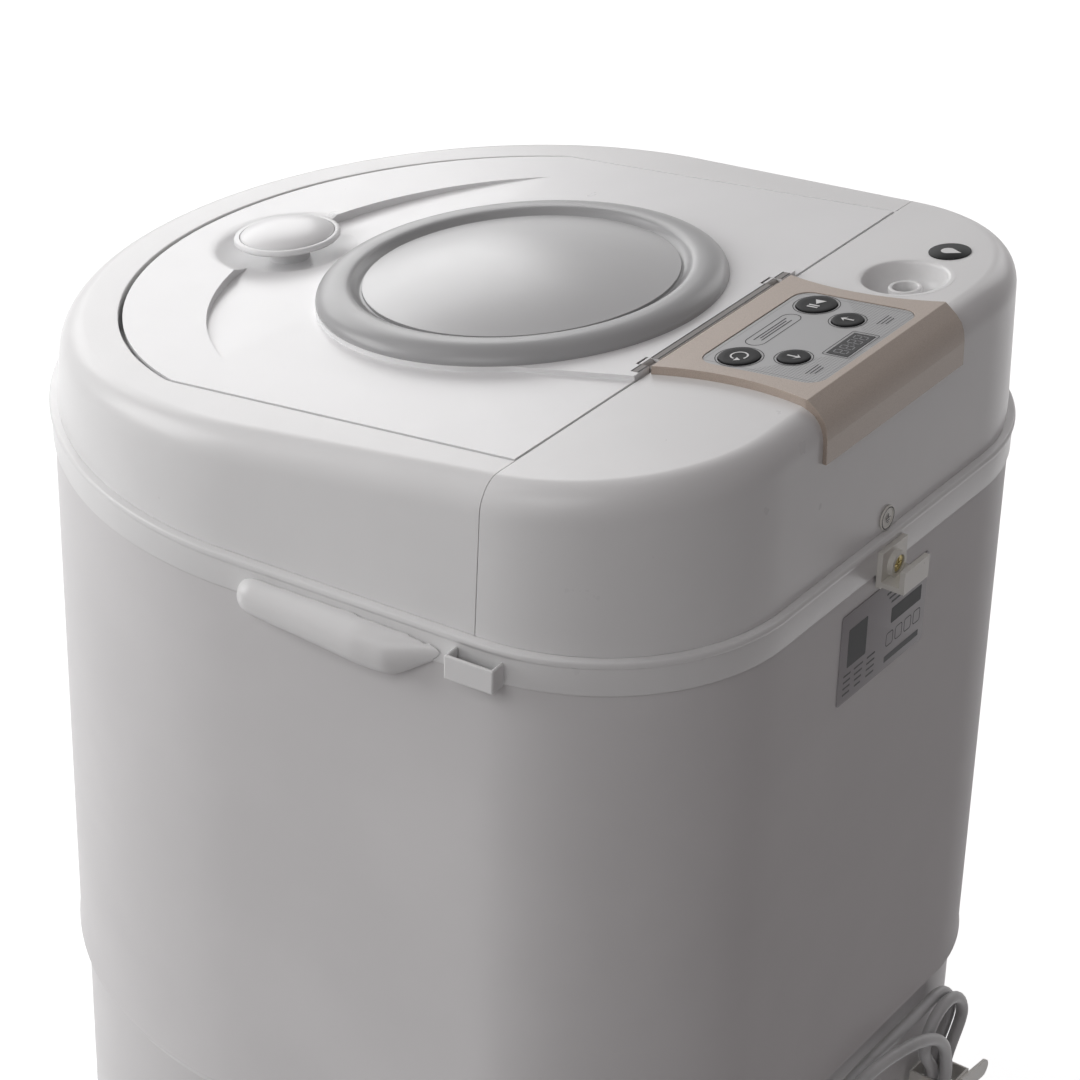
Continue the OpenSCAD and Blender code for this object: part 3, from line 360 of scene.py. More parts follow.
@dataclass(frozen=True)
class OverlayFilm:
    """Printed silver film of the controls: plain field, fine dots in the rear corners and a rim line."""

    name: str
    colour: Triple
    half_w: float = 48.5
    half_l: float = 34.0
    centre: float = 171.5

    def build(self, made: Maker) -> None:
        """Makes the material's nodes.

        Args:
            made: the material's maker.
        """
        x, v, _ = made.on_lid()
        v = v - self.centre
        dots_u = (((x + v) * 1.9).math("SINE") * ((x - v) * 1.9).math("SINE")).step(-0.15, 0.35)
        corner = (abs(x) + v * 1.15).step(38.0, 41.0)
        field_colour = made.mix(dots_u * corner * 0.75, self.colour, tint(self.colour, -0.5))
        edge = (abs(x) / self.half_w).most(abs(v) / self.half_l)
        rim = edge.step(0.93, 0.935) * (1 - edge.step(0.945, 0.95))
        field_colour = made.mix(rim * 0.5, field_colour, tint(self.colour, -0.7))
        brushed = made.noise(900.0, 2.0, (0.08, 1.0, 1.0))
        made.surface(
            Base_Color=made.mix((brushed - 0.4) * 0.35, field_colour, tint(self.colour, 0.25)),
            Metallic=0.1, Roughness=0.36 + (brushed - 0.5) * 0.16,
            Normal=made.bump(brushed, 0.004 * MM),
        )


@dataclass(frozen=True)
class CordSheath:
    """Soft plastic sheath of the mains lead."""

    name: str
    colour: Triple

    def build(self, made: Maker) -> None:
        """Makes the material's nodes.

        Args:
            made: the material's maker.
        """
        dust = made.noise(55.0, 4.0)
        colour = made.mix(dust.step(0.45, 0.75), self.colour, tint(self.colour, -0.14))
        made.surface(
            Base_Color=colour, Roughness=0.42 + (dust - 0.5) * 0.2,
            Normal=made.bump(made.noise(900.0, 2.0), 0.02 * MM),
        )


FINISHES: dict[str, Moulding | Metal | MetallicPaint | OverlayFilm | CordSheath] = {
    made.name: made
    for made in (
        Moulding("white_abs", (0.80, 0.80, 0.80), Sheen.SOFT, shine=0.35),
        Moulding("white_lid", (0.80, 0.80, 0.805), Sheen.SOFT, peel=0.006),
        Moulding("white_body", (0.75, 0.742, 0.745), Sheen.SATIN, grain=180.0, shine=0.12),
        Moulding("ring_grey", (0.34, 0.34, 0.345), Sheen.SOFT, peel=0.004, shine=0.4),
        Moulding("dome_grey", (0.46, 0.46, 0.465), Sheen.SOFT, peel=0.002, cloud=0.03, shine=0.8),
        Moulding("black_key", (0.01, 0.01, 0.011), Sheen.SATIN, grain=900.0, cloud=0.15, shine=0.08),
        Moulding("black_gloss", (0.03, 0.03, 0.032), Sheen.POLISHED, peel=0.001, cloud=0.1, shine=0.12),
        # dark print ink; the same ink paints the shadow lines along the gap strip behind the lid
        Moulding("dark_ink", (0.015, 0.015, 0.017), Sheen.SATIN, grain=1200.0, cloud=0.2, shine=0.15),
        Moulding("white_ink", (0.72, 0.72, 0.72), Sheen.SATIN, grain=1200.0, cloud=0.05),
        Moulding("segment_ink", (0.16, 0.16, 0.17), Sheen.SATIN, grain=1200.0, cloud=0.1),
        Moulding("label_film", (0.36, 0.345, 0.36), Sheen.SATIN, grain=700.0, cloud=0.06, shine=0.2),
        Moulding("label_field", (0.02, 0.02, 0.022), Sheen.SATIN, grain=700.0, cloud=0.15, shine=0.1),
        Moulding("ivory_plastic", (0.78, 0.765, 0.72), Sheen.SOFT, cloud=0.05),
        # dark grey of the hinge lugs; the same colour paints the shade of the gap strip behind the lid
        Moulding("hinge_grey", (0.25, 0.235, 0.225), Sheen.SATIN, grain=500.0, cloud=0.1, shine=0.2),
        Moulding("grey_plastic", (0.55, 0.55, 0.56), Sheen.SATIN, peel=0.03, cloud=0.05),
        Moulding("tub_plastic", (0.74, 0.75, 0.76), Sheen.SOFT, cloud=0.03),
        Moulding("pulsator_blue", (0.35, 0.52, 0.66), Sheen.SOFT, cloud=0.04),
        Moulding("foot_rubber", (0.03, 0.03, 0.032), Sheen.MATTE, peel=0.05, grain=900.0, cloud=0.2),
        Moulding("circuit_board", (0.03, 0.16, 0.07), Sheen.SATIN, cloud=0.15),
        Moulding("motor_paint", (0.09, 0.10, 0.12), Sheen.SATIN, peel=0.03, cloud=0.1),
        Metal("zinc_steel", (0.60, 0.60, 0.62), 0.36),
        Metal("bearing_steel", (0.66, 0.66, 0.68), 0.22),
        Metal("brass_screw", (0.52, 0.43, 0.20), 0.4),
        Metal("cast_housing", (0.50, 0.50, 0.52), 0.5, (1.0, 1.0, 1.0)),
        MetallicPaint("champagne", (0.42, 0.348, 0.297)),
        OverlayFilm("silver_film", (0.35, 0.35, 0.355)),
        CordSheath("cord_pvc", (0.52, 0.52, 0.525)),
    )
}
CACHE: dict[str, bpy.types.Material] = {}


def paint(name: str) -> bpy.types.Material:
    """The material of a finish, made once.

    Args:
        name: the finish's name.

    Returns:
        The material.
    """
    if name not in CACHE:
        CACHE[name] = bpy.data.materials.new(name)
        FINISHES[name].build(Maker(CACHE[name]))
    return CACHE[name]


@dataclass(frozen=True)
class Plan:
    """Outline of the machine seen from above, in millimetres about the lid axis."""

    front_r: float = 214.0
    front_ahead: float = 36.0
    corner_r: float = 107.0
    corner_x: float = 97.0
    corner_back: float = 115.0
    front_steps: int = 110
    corner_steps: int = 30
    side_steps: int = 10
    back_steps: int = 12

    @property
    def side_angle(self) -> float:
        """Slant of the straight side walls."""
        reach = math.hypot(self.corner_x, self.corner_back + self.front_ahead)
        slope = math.atan2(self.corner_back + self.front_ahead, self.corner_x)
        return slope - math.acos((self.front_r - self.corner_r) / reach)

    def points(self, inset: float) -> list[Pair]:
        """The closed outline.

        Args:
            inset: how far it is drawn in.

        Returns:
            Points from the right side round the back to the left and the front.
        """
        lean = self.side_angle
        corner, front = self.corner_r - inset, self.front_r - inset
        right = arc((self.corner_x, self.corner_back), corner, lean, math.pi / 2, self.corner_steps)
        turn = math.pi - lean
        left = arc((-self.corner_x, self.corner_back), corner, math.pi / 2, turn, self.corner_steps)
        round_front = arc((0.0, -self.front_ahead), front, turn, 2 * math.pi + lean, self.front_steps)
        walk = right + between(right[-1], left[0], self.back_steps) + left
        walk += between(left[-1], round_front[0], self.side_steps) + round_front
        return walk + between(round_front[-1], right[0], self.side_steps)


PLAN = Plan()


def arc(centre: Pair, radius: float, start: float, end: float, steps: int) -> list[Pair]:
    """Points along an arc, both ends with it."""
    turns = [start + (end - start) * i / steps for i in range(steps + 1)]
    return [(centre[0] + radius * math.cos(a), centre[1] + radius * math.sin(a)) for a in turns]


def circle(centre: Pair, radius: float, steps: int) -> list[Pair]:
    """Points round a circle."""
    return arc(centre, radius, 0.0, 2 * math.pi * (steps - 1) / steps, steps - 1)


def between(first: Pair, last: Pair, steps: int) -> list[Pair]:
    """Points of a straight line without its ends."""
    shares = [i / steps for i in range(1, steps)]
    return [tuple(a + (b - a) * t for a, b in zip(first, last)) for t in shares]


def rounded(
    width: float, length: float, radius: float, centre: Pair = (0.0, 0.0), steps: int = 8
) -> list[Pair]:
    """Outline of a rounded plate.

    Args:
        width: size across.
        length: size front to back.
        radius: radius of its corners.
        centre: where it stands.
        steps: steps of a corner.

    Returns:
        The points, anticlockwise.
    """
    across, along = width / 2 - radius, length / 2 - radius
    walk: list[Pair] = []
    for turn, (sx, sy) in enumerate(((1, 1), (-1, 1), (-1, -1), (1, -1))):
        middle = (centre[0] + sx * across, centre[1] + sy * along)
        walk += arc(middle, radius, turn * math.pi / 2, (turn + 1) * math.pi / 2, steps)
    return walk


def level(points: Iterable[Pair], z: float) -> list[Vector]:
    """Plan points at one height over the floor."""
    return [Vector((x, AXIS_Y + y, z)) for x, y in points]


def sloped(points: Iterable[Pair], w: float) -> list[Vector]:
    """Plan points at one depth over the sloping plane."""
    rise, lift = math.tan(TILT), w / math.cos(TILT)
    return [Vector((x, AXIS_Y + y, LID_H + y * rise + lift)) for x, y in points]


class Shape:
    """A mesh in the making, in millimetres."""

    def __init__(self) -> None:
        """Starts empty."""
        self.bm = bmesh.new()

    def loop(self, points: Sequence[Vector]) -> list[bmesh.types.BMVert]:
        """Starts a closed loop.

        Args:
            points: its corners.

        Returns:
            Its vertices in order.
        """
        made = bmesh.ops.create_circle(self.bm, segments=len(points), radius=1.0)["verts"]
        for vert, point in zip(made, points):
            vert.co = point
        return list(made)

    def edges_of(self, loop: Sequence[bmesh.types.BMVert]) -> list[bmesh.types.BMEdge]:
        """The edges of a closed loop."""
        return [self.bm.edges.get((a, b)) for a, b in zip(loop, [*loop[1:], loop[0]])]

    def grow(
        self, loop: Sequence[bmesh.types.BMVert], points: Sequence[Vector]
    ) -> list[bmesh.types.BMVert]:
        """Extrudes a loop to its next place.

        Args:
            loop: the loop's vertices in order.
            points: where they go.

        Returns:
            The new loop.
        """
        made = bmesh.ops.extrude_edge_only(self.bm, edges=self.edges_of(loop))["geom"]
        fresh = {item for item in made if isinstance(item, bmesh.types.BMVert)}
        following = [
            next(e.other_vert(v) for e in v.link_edges if e.other_vert(v) in fresh) for v in loop
        ]
        for vert, point in zip(following, points):
            vert.co = point
        return following

    def stack(self, rings: Sequence[Sequence[Vector]], closed: bool = False) -> list[bmesh.types.BMVert]:
        """Draws a skin ring by ring.

        Args:
            rings: the rings, each with the same number of points.
            closed: whether the last ring is bridged to the first.

        Returns:
            The last loop.
        """
        first = last = self.loop(rings[0])
        for ring in rings[1:]:
            last = self.grow(last, ring)
        if closed:
            bmesh.ops.bridge_loops(self.bm, edges=self.edges_of(first) + self.edges_of(last))
        return last

    def lathe(self, profile: Sequence[Pair], centre: Pair = (0.0, 0.0), steps: int = 96) -> None:
        """Turns a profile of radius and height round an upright axis.

        Args:
            profile: its points; the first comes again where it is closed.
            centre: the axis.
            steps: steps of the turn.
        """
        verts = [self.bm.verts.new((centre[0] + r, centre[1], h)) for r, h in profile]
        edges = [self.bm.edges.new(pair) for pair in zip(verts, verts[1:])]
        bmesh.ops.spin(
            self.bm, geom=verts + edges, cent=(*centre, 0.0), axis=(0.0, 0.0, 1.0),
            angle=2 * math.pi, steps=steps, use_merge=True,
        )

    def flat(self, points: Sequence[Pair], w: float) -> bmesh.types.BMFace:
        """One flat face with these corners at height w."""
        verts = [self.bm.verts.new((x, y, w)) for x, y in points]
        return bmesh.ops.contextual_create(self.bm, geom=verts)["faces"][0]

    def bar(self, first: Pair, last: Pair, w: float) -> None:
        """A flat printed bar between two opposite corners."""
        (x0, y0), (x1, y1) = first, last
        self.flat([(x0, y0), (x1, y0), (x1, y1), (x0, y1)], w)

    def plate(self, points: Sequence[Pair], low: float, high: float) -> None:
        """A plate between two heights.

        Args:
            points: its corners.
            low: its lower height.
            high: its upper height.
        """
        face = self.flat(points, low)
        top = bmesh.ops.extrude_face_region(self.bm, geom=[face])["geom"]
        verts = [item for item in top if isinstance(item, bmesh.types.BMVert)]
        bmesh.ops.translate(self.bm, verts=verts, vec=(0.0, 0.0, high - low))

    def outline(self, points: Sequence[Pair], width: float, w: float) -> None:
        """A flat printed line inside a closed outline.

        Args:
            points: the outline.
            width: how wide the line is.
            w: its height.
        """
        face = self.flat(points, w)
        bmesh.ops.inset_region(
            self.bm, faces=[face], thickness=width, use_even_offset=True, use_boundary=True
        )
        bmesh.ops.delete(self.bm, geom=[face], context="FACES")

    def cut(self, place: Triple, away: Triple) -> list[bmesh.types.BMEdge]:
        """Cuts off everything on one side of a plane.

        Args:
            place: a point of the plane.
            away: direction of the side that goes.

        Returns:
            The edges on the cut.
        """
        everything = [*self.bm.verts, *self.bm.edges, *self.bm.faces]
        made = bmesh.ops.bisect_plane(
            self.bm, geom=everything, dist=1e-4, plane_co=place, plane_no=away, clear_outer=True
        )
        return [item for item in made["geom_cut"] if isinstance(item, bmesh.types.BMEdge)]

    def round_edges(self, width: float, limit: float = 35.0, segments: int = 2) -> None:
        """Rounds the sharp edges.

        Args:
            width: width of the rounding.
            limit: edges sharper than this are rounded, in degrees.
            segments: steps of a rounded edge.
        """
        sharp = [
            edge for edge in self.bm.edges
            if len(edge.link_faces) == 2 and edge.calc_face_angle(0.0) > math.radians(limit)
        ]
        bmesh.ops.bevel(
            self.bm, geom=sharp, offset=width, offset_type="OFFSET", affect="EDGES",
            segments=segments, profile=0.5, material=-1, clamp_overlap=True,
        )

    def tidy(self, gap: float = 1e-3) -> None:
        """Merges doubles and turns the faces outwards."""
        bmesh.ops.remove_doubles(self.bm, verts=self.bm.verts, dist=gap)
        bmesh.ops.recalc_face_normals(self.bm, faces=self.bm.faces)

    def finish(
        self, name: str, finish: str, body: str, place: Matrix = ROOT, hides: Sequence[str] = (),
        soft: float = 38.0, tidy: bool = True,
    ) -> bpy.types.Object:
        """Makes the object.

        Args:
            name: its name.
            finish: its finish.
            body: the body it rides on.
            place: from its millimetres to the machine's metres.
            hides: CAD nodes that it stands for.
            soft: the sharpest edge that is shaded smooth, in degrees.
            tidy: whether doubles are merged and normals recalculated first.

        Returns:
            The object.
        """
        if tidy:
            self.tidy()
        self.bm.transform(place)
        mesh = bpy.data.meshes.new(name)
        self.bm.to_mesh(mesh)
        self.bm.free()
        return settle(mesh, name, finish, body, hides, soft)


def turned(
    profile: Sequence[Pair], name: str, finish: str, body: str, hides: Sequence[str],
    centre: Pair = (0.0, 0.0), steps: int = 180, soft: float = 38.0,
) -> None:
    """Turns one piece that stands square on the sloping plane.

    Args:
        profile: its points, as radius and height.
        name: the object's name.
        finish: its finish.
        body: the body it rides on.
        hides: CAD nodes that it stands for.
        centre: its axis.
        steps: steps of the turn.
        soft: the sharpest edge that is shaded smooth, in degrees.
    """
    shape = Shape()
    shape.lathe(profile, centre, steps)
    shape.finish(name, finish, body, LID, hides, soft=soft)


def stand(name: str, data: bpy.types.ID) -> bpy.types.Object:
    """Puts a new object into the scene.

    Args:
        name: its name.
        data: its mesh, curve, light or camera.

    Returns:
        The object.
    """
    made = bpy.data.objects.new(name, data)
    bpy.context.scene.collection.objects.link(made)
    return made


def settle(
    mesh: bpy.types.Mesh, name: str, finish: str, body: str, hides: Sequence[str], soft: float
) -> bpy.types.Object:
    """Gives a mesh its object, finish, shading and body.

    Args:
        mesh: the mesh, in metres.
        name: the object's name.
        finish: its finish.
        body: the body it rides on.
        hides: CAD nodes that it stands for.
        soft: the sharpest edge that is shaded smooth, in degrees.

    Returns:
        The object.
    """
    mesh.shade_smooth()
    mesh.set_sharp_from_angle(angle=math.radians(soft))
    made = stand(name, mesh)
    mesh.materials.clear()
    mesh.materials.append(paint(finish))
    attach(made, body)
    if hides:
        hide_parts(*hides)
    finish in SLOTS
    return made


SLOTS = {entry["slot"] for entry in frame["record"].get("materials", []) if "slot" in entry}


def thicken(made: bpy.types.Object, wall: float) -> None:
    """Gives an open skin its wall, inwards.

    Args:
        made: the skin.
        wall: how thick it gets.
    """
    solid = made.modifiers.new("wall", "SOLIDIFY")
    solid.thickness, solid.offset = wall * MM, -1.0
    solid.use_even_offset = True


def soften(made: bpy.types.Object, width: float, limit: float = 35.0, segments: int = 2) -> None:
    """Rounds the sharp edges of a finished piece and evens its shading.

    Args:
        made: the piece.
        width: width of the rounding.
        limit: edges sharper than this are rounded, in degrees.
        segments: steps of a rounded edge.
    """
    bevel = made.modifiers.new("edges", "BEVEL")
    bevel.width, bevel.segments = width * MM, segments
    bevel.limit_method, bevel.angle_limit = "ANGLE", math.radians(limit)
    bevel.use_clamp_overlap = True
    weight = made.modifiers.new("shading", "WEIGHTED_NORMAL")
    weight.keep_sharp = True


def refine(
    node: str, finish: str, body: str = MACHINE, width: float = 0.6, limit: float = 35.0,
    flat: float = 0.6, segments: int = 2,
) -> bpy.types.Object:
    """Dresses a copy of a CAD node whose shape is right.

    Args:
        node: the node.
        finish: its finish.
        body: the body it rides on.
        width: width of its rounded edges, or 0.
        limit: edges sharper than this are rounded, in degrees.
        flat: faces that differ less than this are joined, in degrees.
        segments: steps of a rounded edge.

    Returns:
        The object.
    """
    bm = bmesh.new()
    bm.from_mesh(frame["nodes"][node].data)
    bmesh.ops.remove_doubles(bm, verts=bm.verts, dist=2e-6)
    bmesh.ops.dissolve_limit(bm, angle_limit=math.radians(flat), verts=bm.verts, edges=bm.edges)
    mesh = bpy.data.meshes.new(node + "_skin")
    bm.to_mesh(mesh)
    bm.free()
    made = settle(mesh, node + "_skin", finish, body, [node], limit)
    if width:
        soften(made, width, limit, segments)
    return made


@dataclass
class MainsLead:
    """Mains lead behind the machine: straight run, tied hank, tail and plug."""

    radius: float = 3.5
    run_y: float = 232.3
    run_z: float = 194.5
    layer_step: float = 7.8
    outlet: Triple = (100.0, 228.0, 170.0)
    relief_end: float = 68.0
    hank_x: float = -92.0
    loop_rings: int = 24
    hank_rings: int = 44
    end_r: float = 21.0
    low_z: float = 26.0
    tie_z: float = 141.0
    waist_x: float = 4.2
    corner_rings: int = 3
    run_rings: int = 6
    length: float = 1.376
    lead: list[Triple] = field(default_factory=lambda: [
        (68, 232.3, 170), (61, 232.3, 170), (50, 232.3, 172), (38, 232.3, 177), (26, 232.3, 184),
        (13, 232.3, 190), (-2, 232.3, 193.5), (-18, 232.3, 194.5), (-35, 232.3, 194.5),
        (-52, 232.3, 194.5), (-69, 232.3, 194.5), (-85, 232.3, 194.5)])
    tail: list[Triple] = field(default_factory=lambda: [
        (-81, 248.5, 168), (-76, 249, 178.5), (-68, 249, 187.5), (-57, 248.5, 194.5),
        (-44, 247.5, 199.5), (-29, 246, 202.5), (-13, 244, 203.5), (3, 242.5, 203),
        (17, 241.5, 199.5), (29, 241, 192), (38, 241, 181), (44, 241.5, 167), (47, 242, 152),
        (48.5, 243, 135), (49.5, 244, 118), (50.5, 245, 101), (52.5, 246, 84), (57, 247, 67.5),
        (65, 248.5, 52), (76, 250, 38), (90, 251, 26), (106, 252, 16), (123, 252, 9.5),
        (139, 252, 7), (155, 252, 7)])

    @property
    def high_z(self) -> float:
        """Height at which the hank's upper bends start."""
        return self.run_z - self.end_r

    @staticmethod
    def ease(t: float) -> float:
        """Rises smoothly from 0 to 1."""
        t = min(1.0, max(0.0, t))
        return t * t * (3.0 - 2.0 * t)

    def strand(self, z: float) -> float:
        """Half the width between the two runs at a height."""
        span = self.high_z - self.tie_z if z > self.tie_z else self.tie_z - self.low_z
        return self.waist_x + (self.end_r - self.waist_x) * self.ease(abs(z - self.tie_z) / span)

    def bend(self, turn: float, y: float, z: float) -> Vector:
        """A point of a round bend at either end of the hank."""
        x = self.hank_x + self.end_r * math.cos(turn)
        return Vector((x, y, z + self.end_r * math.sin(turn)))

    def hank_point(self, i: int) -> Vector:
        """One point of the hank's centreline.

        Args:
            i: its number from the start.

        Returns:
            The point.
        """
        k = i % self.loop_rings
        start_up = 3 * self.corner_rings + self.run_rings
        layer = i // self.loop_rings + self.ease((k - start_up) / self.run_rings)
        y = self.run_y + self.layer_step * layer
        down = (k - self.corner_rings) / self.run_rings
        bottom = (k - self.corner_rings - self.run_rings) / (2 * self.corner_rings)
        up = (k - start_up) / self.run_rings
        if k < self.corner_rings:
            return self.bend(math.pi / 2 + math.pi / 2 * k / self.corner_rings, y, self.high_z)
        if down <= 1:
            z = self.high_z + (self.low_z - self.high_z) * down
            return Vector((self.hank_x - self.strand(z), y, z))
        if bottom <= 1:
            return self.bend(math.pi + math.pi * bottom, y, self.low_z)
        if up <= 1:
            z = self.low_z + (self.high_z - self.low_z) * up
            return Vector((self.hank_x + self.strand(z), y, z))
        turn = math.pi / 2 * (k - start_up - self.run_rings) / self.corner_rings
        return self.bend(turn, y, self.high_z)

    def route(self) -> list[Vector]:
        """The whole centreline, from the strain relief to the plug."""
        hank = [self.hank_point(i) for i in range(self.hank_rings + 1)]
        last = hank[-1] + 2 * self.radius * (hank[-1] - hank[-2]).normalized()
        return [Vector(p) for p in self.lead] + hank + [last] + [Vector(p) for p in self.tail]

    def fine_route(self, steps: int = 5) -> list[Vector]:
        """The centreline with points between, on a smooth curve through its points.

        Args:
            steps: steps from one point to the next.

        Returns:
            All the points.
        """
        points = self.route()
        padded = [2 * points[0] - points[1], *points, 2 * points[-1] - points[-2]]
        fine: list[Vector] = []
        for p0, p1, p2, p3 in zip(padded, padded[1:], padded[2:], padded[3:]):
            d0, d1, d2 = (max(1e-6, (b - a).length) ** 0.5 for a, b in ((p0, p1), (p1, p2), (p2, p3)))
            m1 = (p1 - p0) / d0 - (p2 - p0) / (d0 + d1) + (p2 - p1) / d1
            m2 = (p2 - p1) / d1 - (p3 - p1) / (d1 + d2) + (p3 - p2) / d2
            for i in range(steps):
                t = i / steps
                fine.append(
                    (2 * t**3 - 3 * t**2 + 1) * p1 + (t**3 - 2 * t**2 + t) * m1 * d1
                    + (3 * t**2 - 2 * t**3) * p2 + (t**3 - t**2) * m2 * d1
                )
        return [*fine, points[-1]]

    def build_sheath(self) -> bpy.types.Object:
        """Makes the lead itself as one curve.

        Returns:
            The curve.
        """
        data = bpy.data.curves.new("mains_lead", "CURVE")
        data.dimensions, data.bevel_depth, data.bevel_resolution = "3D", self.radius * MM, 5
        data.use_fill_caps = True
        spline = data.splines.new("POLY")
        points = self.fine_route()
        spline.points.add(len(points) - 1)
        for knot, point in zip(spline.points, points):
            knot.co = (*(point * MM), 1.0)
        spline.use_smooth = True
        data.materials.append(paint("cord_pvc"))
        made = stand("mains_lead", data)
        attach(made, MACHINE)
        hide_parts("power_cord", "cord_hank", "cord_tail")
        return made

    def build_relief(self) -> bpy.types.Object:
        """Makes the ribbed strain relief.

        Returns:
            The object.
        """
        shape = Shape()
        start = self.outlet[0] - 10.0
        length = start - self.relief_end
        profile: list[Pair] = [(0.0, 0.0), (6.0, 0.0)]
        ribs = 6
        for i in range(ribs):
            low, high = length * (i + 0.12) / ribs, length * (i + 0.55) / ribs
            r0 = 6.0 - 1.4 * (i + 0.5) / ribs
            profile += [(r0, low), (r0 - 0.2, high), (r0 - 0.75, high + 0.3)]
            profile.append((r0 - 0.8, length * (i + 1) / ribs))
        profile += [(3.7, length), (0.0, length)]
        shape.lathe(profile, steps=40)
        shape.tidy()
        shape.round_edges(0.2)
        along = Matrix.Translation((start, self.run_y, self.outlet[2]))
        place = ROOT @ along @ Matrix.Rotation(-math.pi / 2, 4, "Y")
        return shape.finish("strain_relief_skin", "cord_pvc", MACHINE, place, ["strain_relief"])

    def build(self) -> None:
        sheath = self.build_sheath()
        relief = self.build_relief()
        tie = refine("cord_tie", "ivory_plastic", width=0.35)
        plug = refine("power_plug", "cord_pvc", width=0.9, segments=3)
        refine("cord_outlet", "grey_plastic", width=1.2, segments=3)
        LOG.info("mains lead: %d points", len(self.fine_route()))


@dataclass
class Cabinet:
    """Body wall, base, trim band and the small fittings on them."""

    wall: float = 3.0
    ridge: float = 0.7
    band_out: float = 1.2
    bead_out: float = 2.4
    bead_h: float = 4.0
    band_wall: float = 9.0

    @staticmethod
    def surround(section: Sequence[Pair], name: str, finish: str, **how: object) -> None:
        """Makes a piece that runs round the machine.

        Args:
            section: its section, as inset and height.
            name: the object's name.
            finish: its finish.
            how: what else its finishing needs.
        """
        shape = Shape()
        shape.stack([level(PLAN.points(inset), z) for inset, z in section], closed=True)
        shape.finish(name, finish, MACHINE, **how)

    def build_wall(self) -> None:
        """Makes the tall body wall with the rolled ridge along its lower edge."""
        ridge = self.ridge
        foot = [(0.5, 0.0), (-0.1, 0.15), (-ridge, 0.8), (-ridge, 1.4), (0.2 - ridge, 2.2), (0.0, 3.2)]
        section = [(self.wall, SEAM_Z), *((inset, SEAM_Z + z) for inset, z in foot)]
        section += [(0.0, TRIM_Z), (self.wall, TRIM_Z)]
        self.surround(section, "body_wall", "white_body", hides=["body_shell"])

    def build_base_rim(self) -> None:
        """Makes the pale rounded rim on the base, just under the wall's lower edge."""
        section = [(6.0, 7.0), (4.0, 7.0), (3.4, 5.2), (2.9, 3.6), (2.7, 2.8), (3.0, 2.0)]
        section += [(3.7, 1.5), (6.0, 1.4)]
        self.surround([(inset, SEAM_Z - z) for inset, z in section], "base_rim", "white_abs")

    def build_band(self) -> None:
        """Makes the band and the bead that runs along its upper edge."""
        bead_mid, half = TRIM_TOP - self.bead_h / 2, self.bead_h / 2
        out = self.band_out
        section = [(self.band_wall, TRIM_Z), (-out + 0.7, TRIM_Z), (-out + 0.2, TRIM_Z + 0.2)]
        section += [(-out, TRIM_Z + 0.7), (-out, bead_mid - half)]
        for i in range(1, 12):
            turn = math.pi * (i / 12 - 0.5)
            reach = out + (self.bead_out - out) * math.cos(turn)
            section.append((-reach, bead_mid + half * math.sin(turn)))
        section += [(-out, TRIM_TOP), (self.band_wall, TRIM_TOP)]
        self.surround(section, "trim_band_skin", "white_abs", hides=["trim_band"], soft=50.0)

    def build(self) -> None:
        """Makes the cabinet's pieces."""
        self.build_wall()
        self.build_base_rim()
        self.build_band()
        refine("base_skirt", "white_body", width=0.7)
        refine("base_cover", "grey_plastic", width=0.5)
        grips = refine("hand_grips", "white_abs", width=0.0, limit=60.0)
        skin = grips.modifiers.new("skin", "REMESH")
        skin.mode, skin.voxel_size, skin.use_smooth_shade = "VOXEL", 1.1 * MM, True
        even = grips.modifiers.new("even", "SMOOTH")
        even.factor, even.iterations = 0.5, 16
        refine("hose_bracket", "white_abs", width=1.0, segments=3)
        refine("rubber_feet", "foot_rubber", width=0.6)
        LOG.info("cabinet: wall, band, base, grips, bracket and feet")


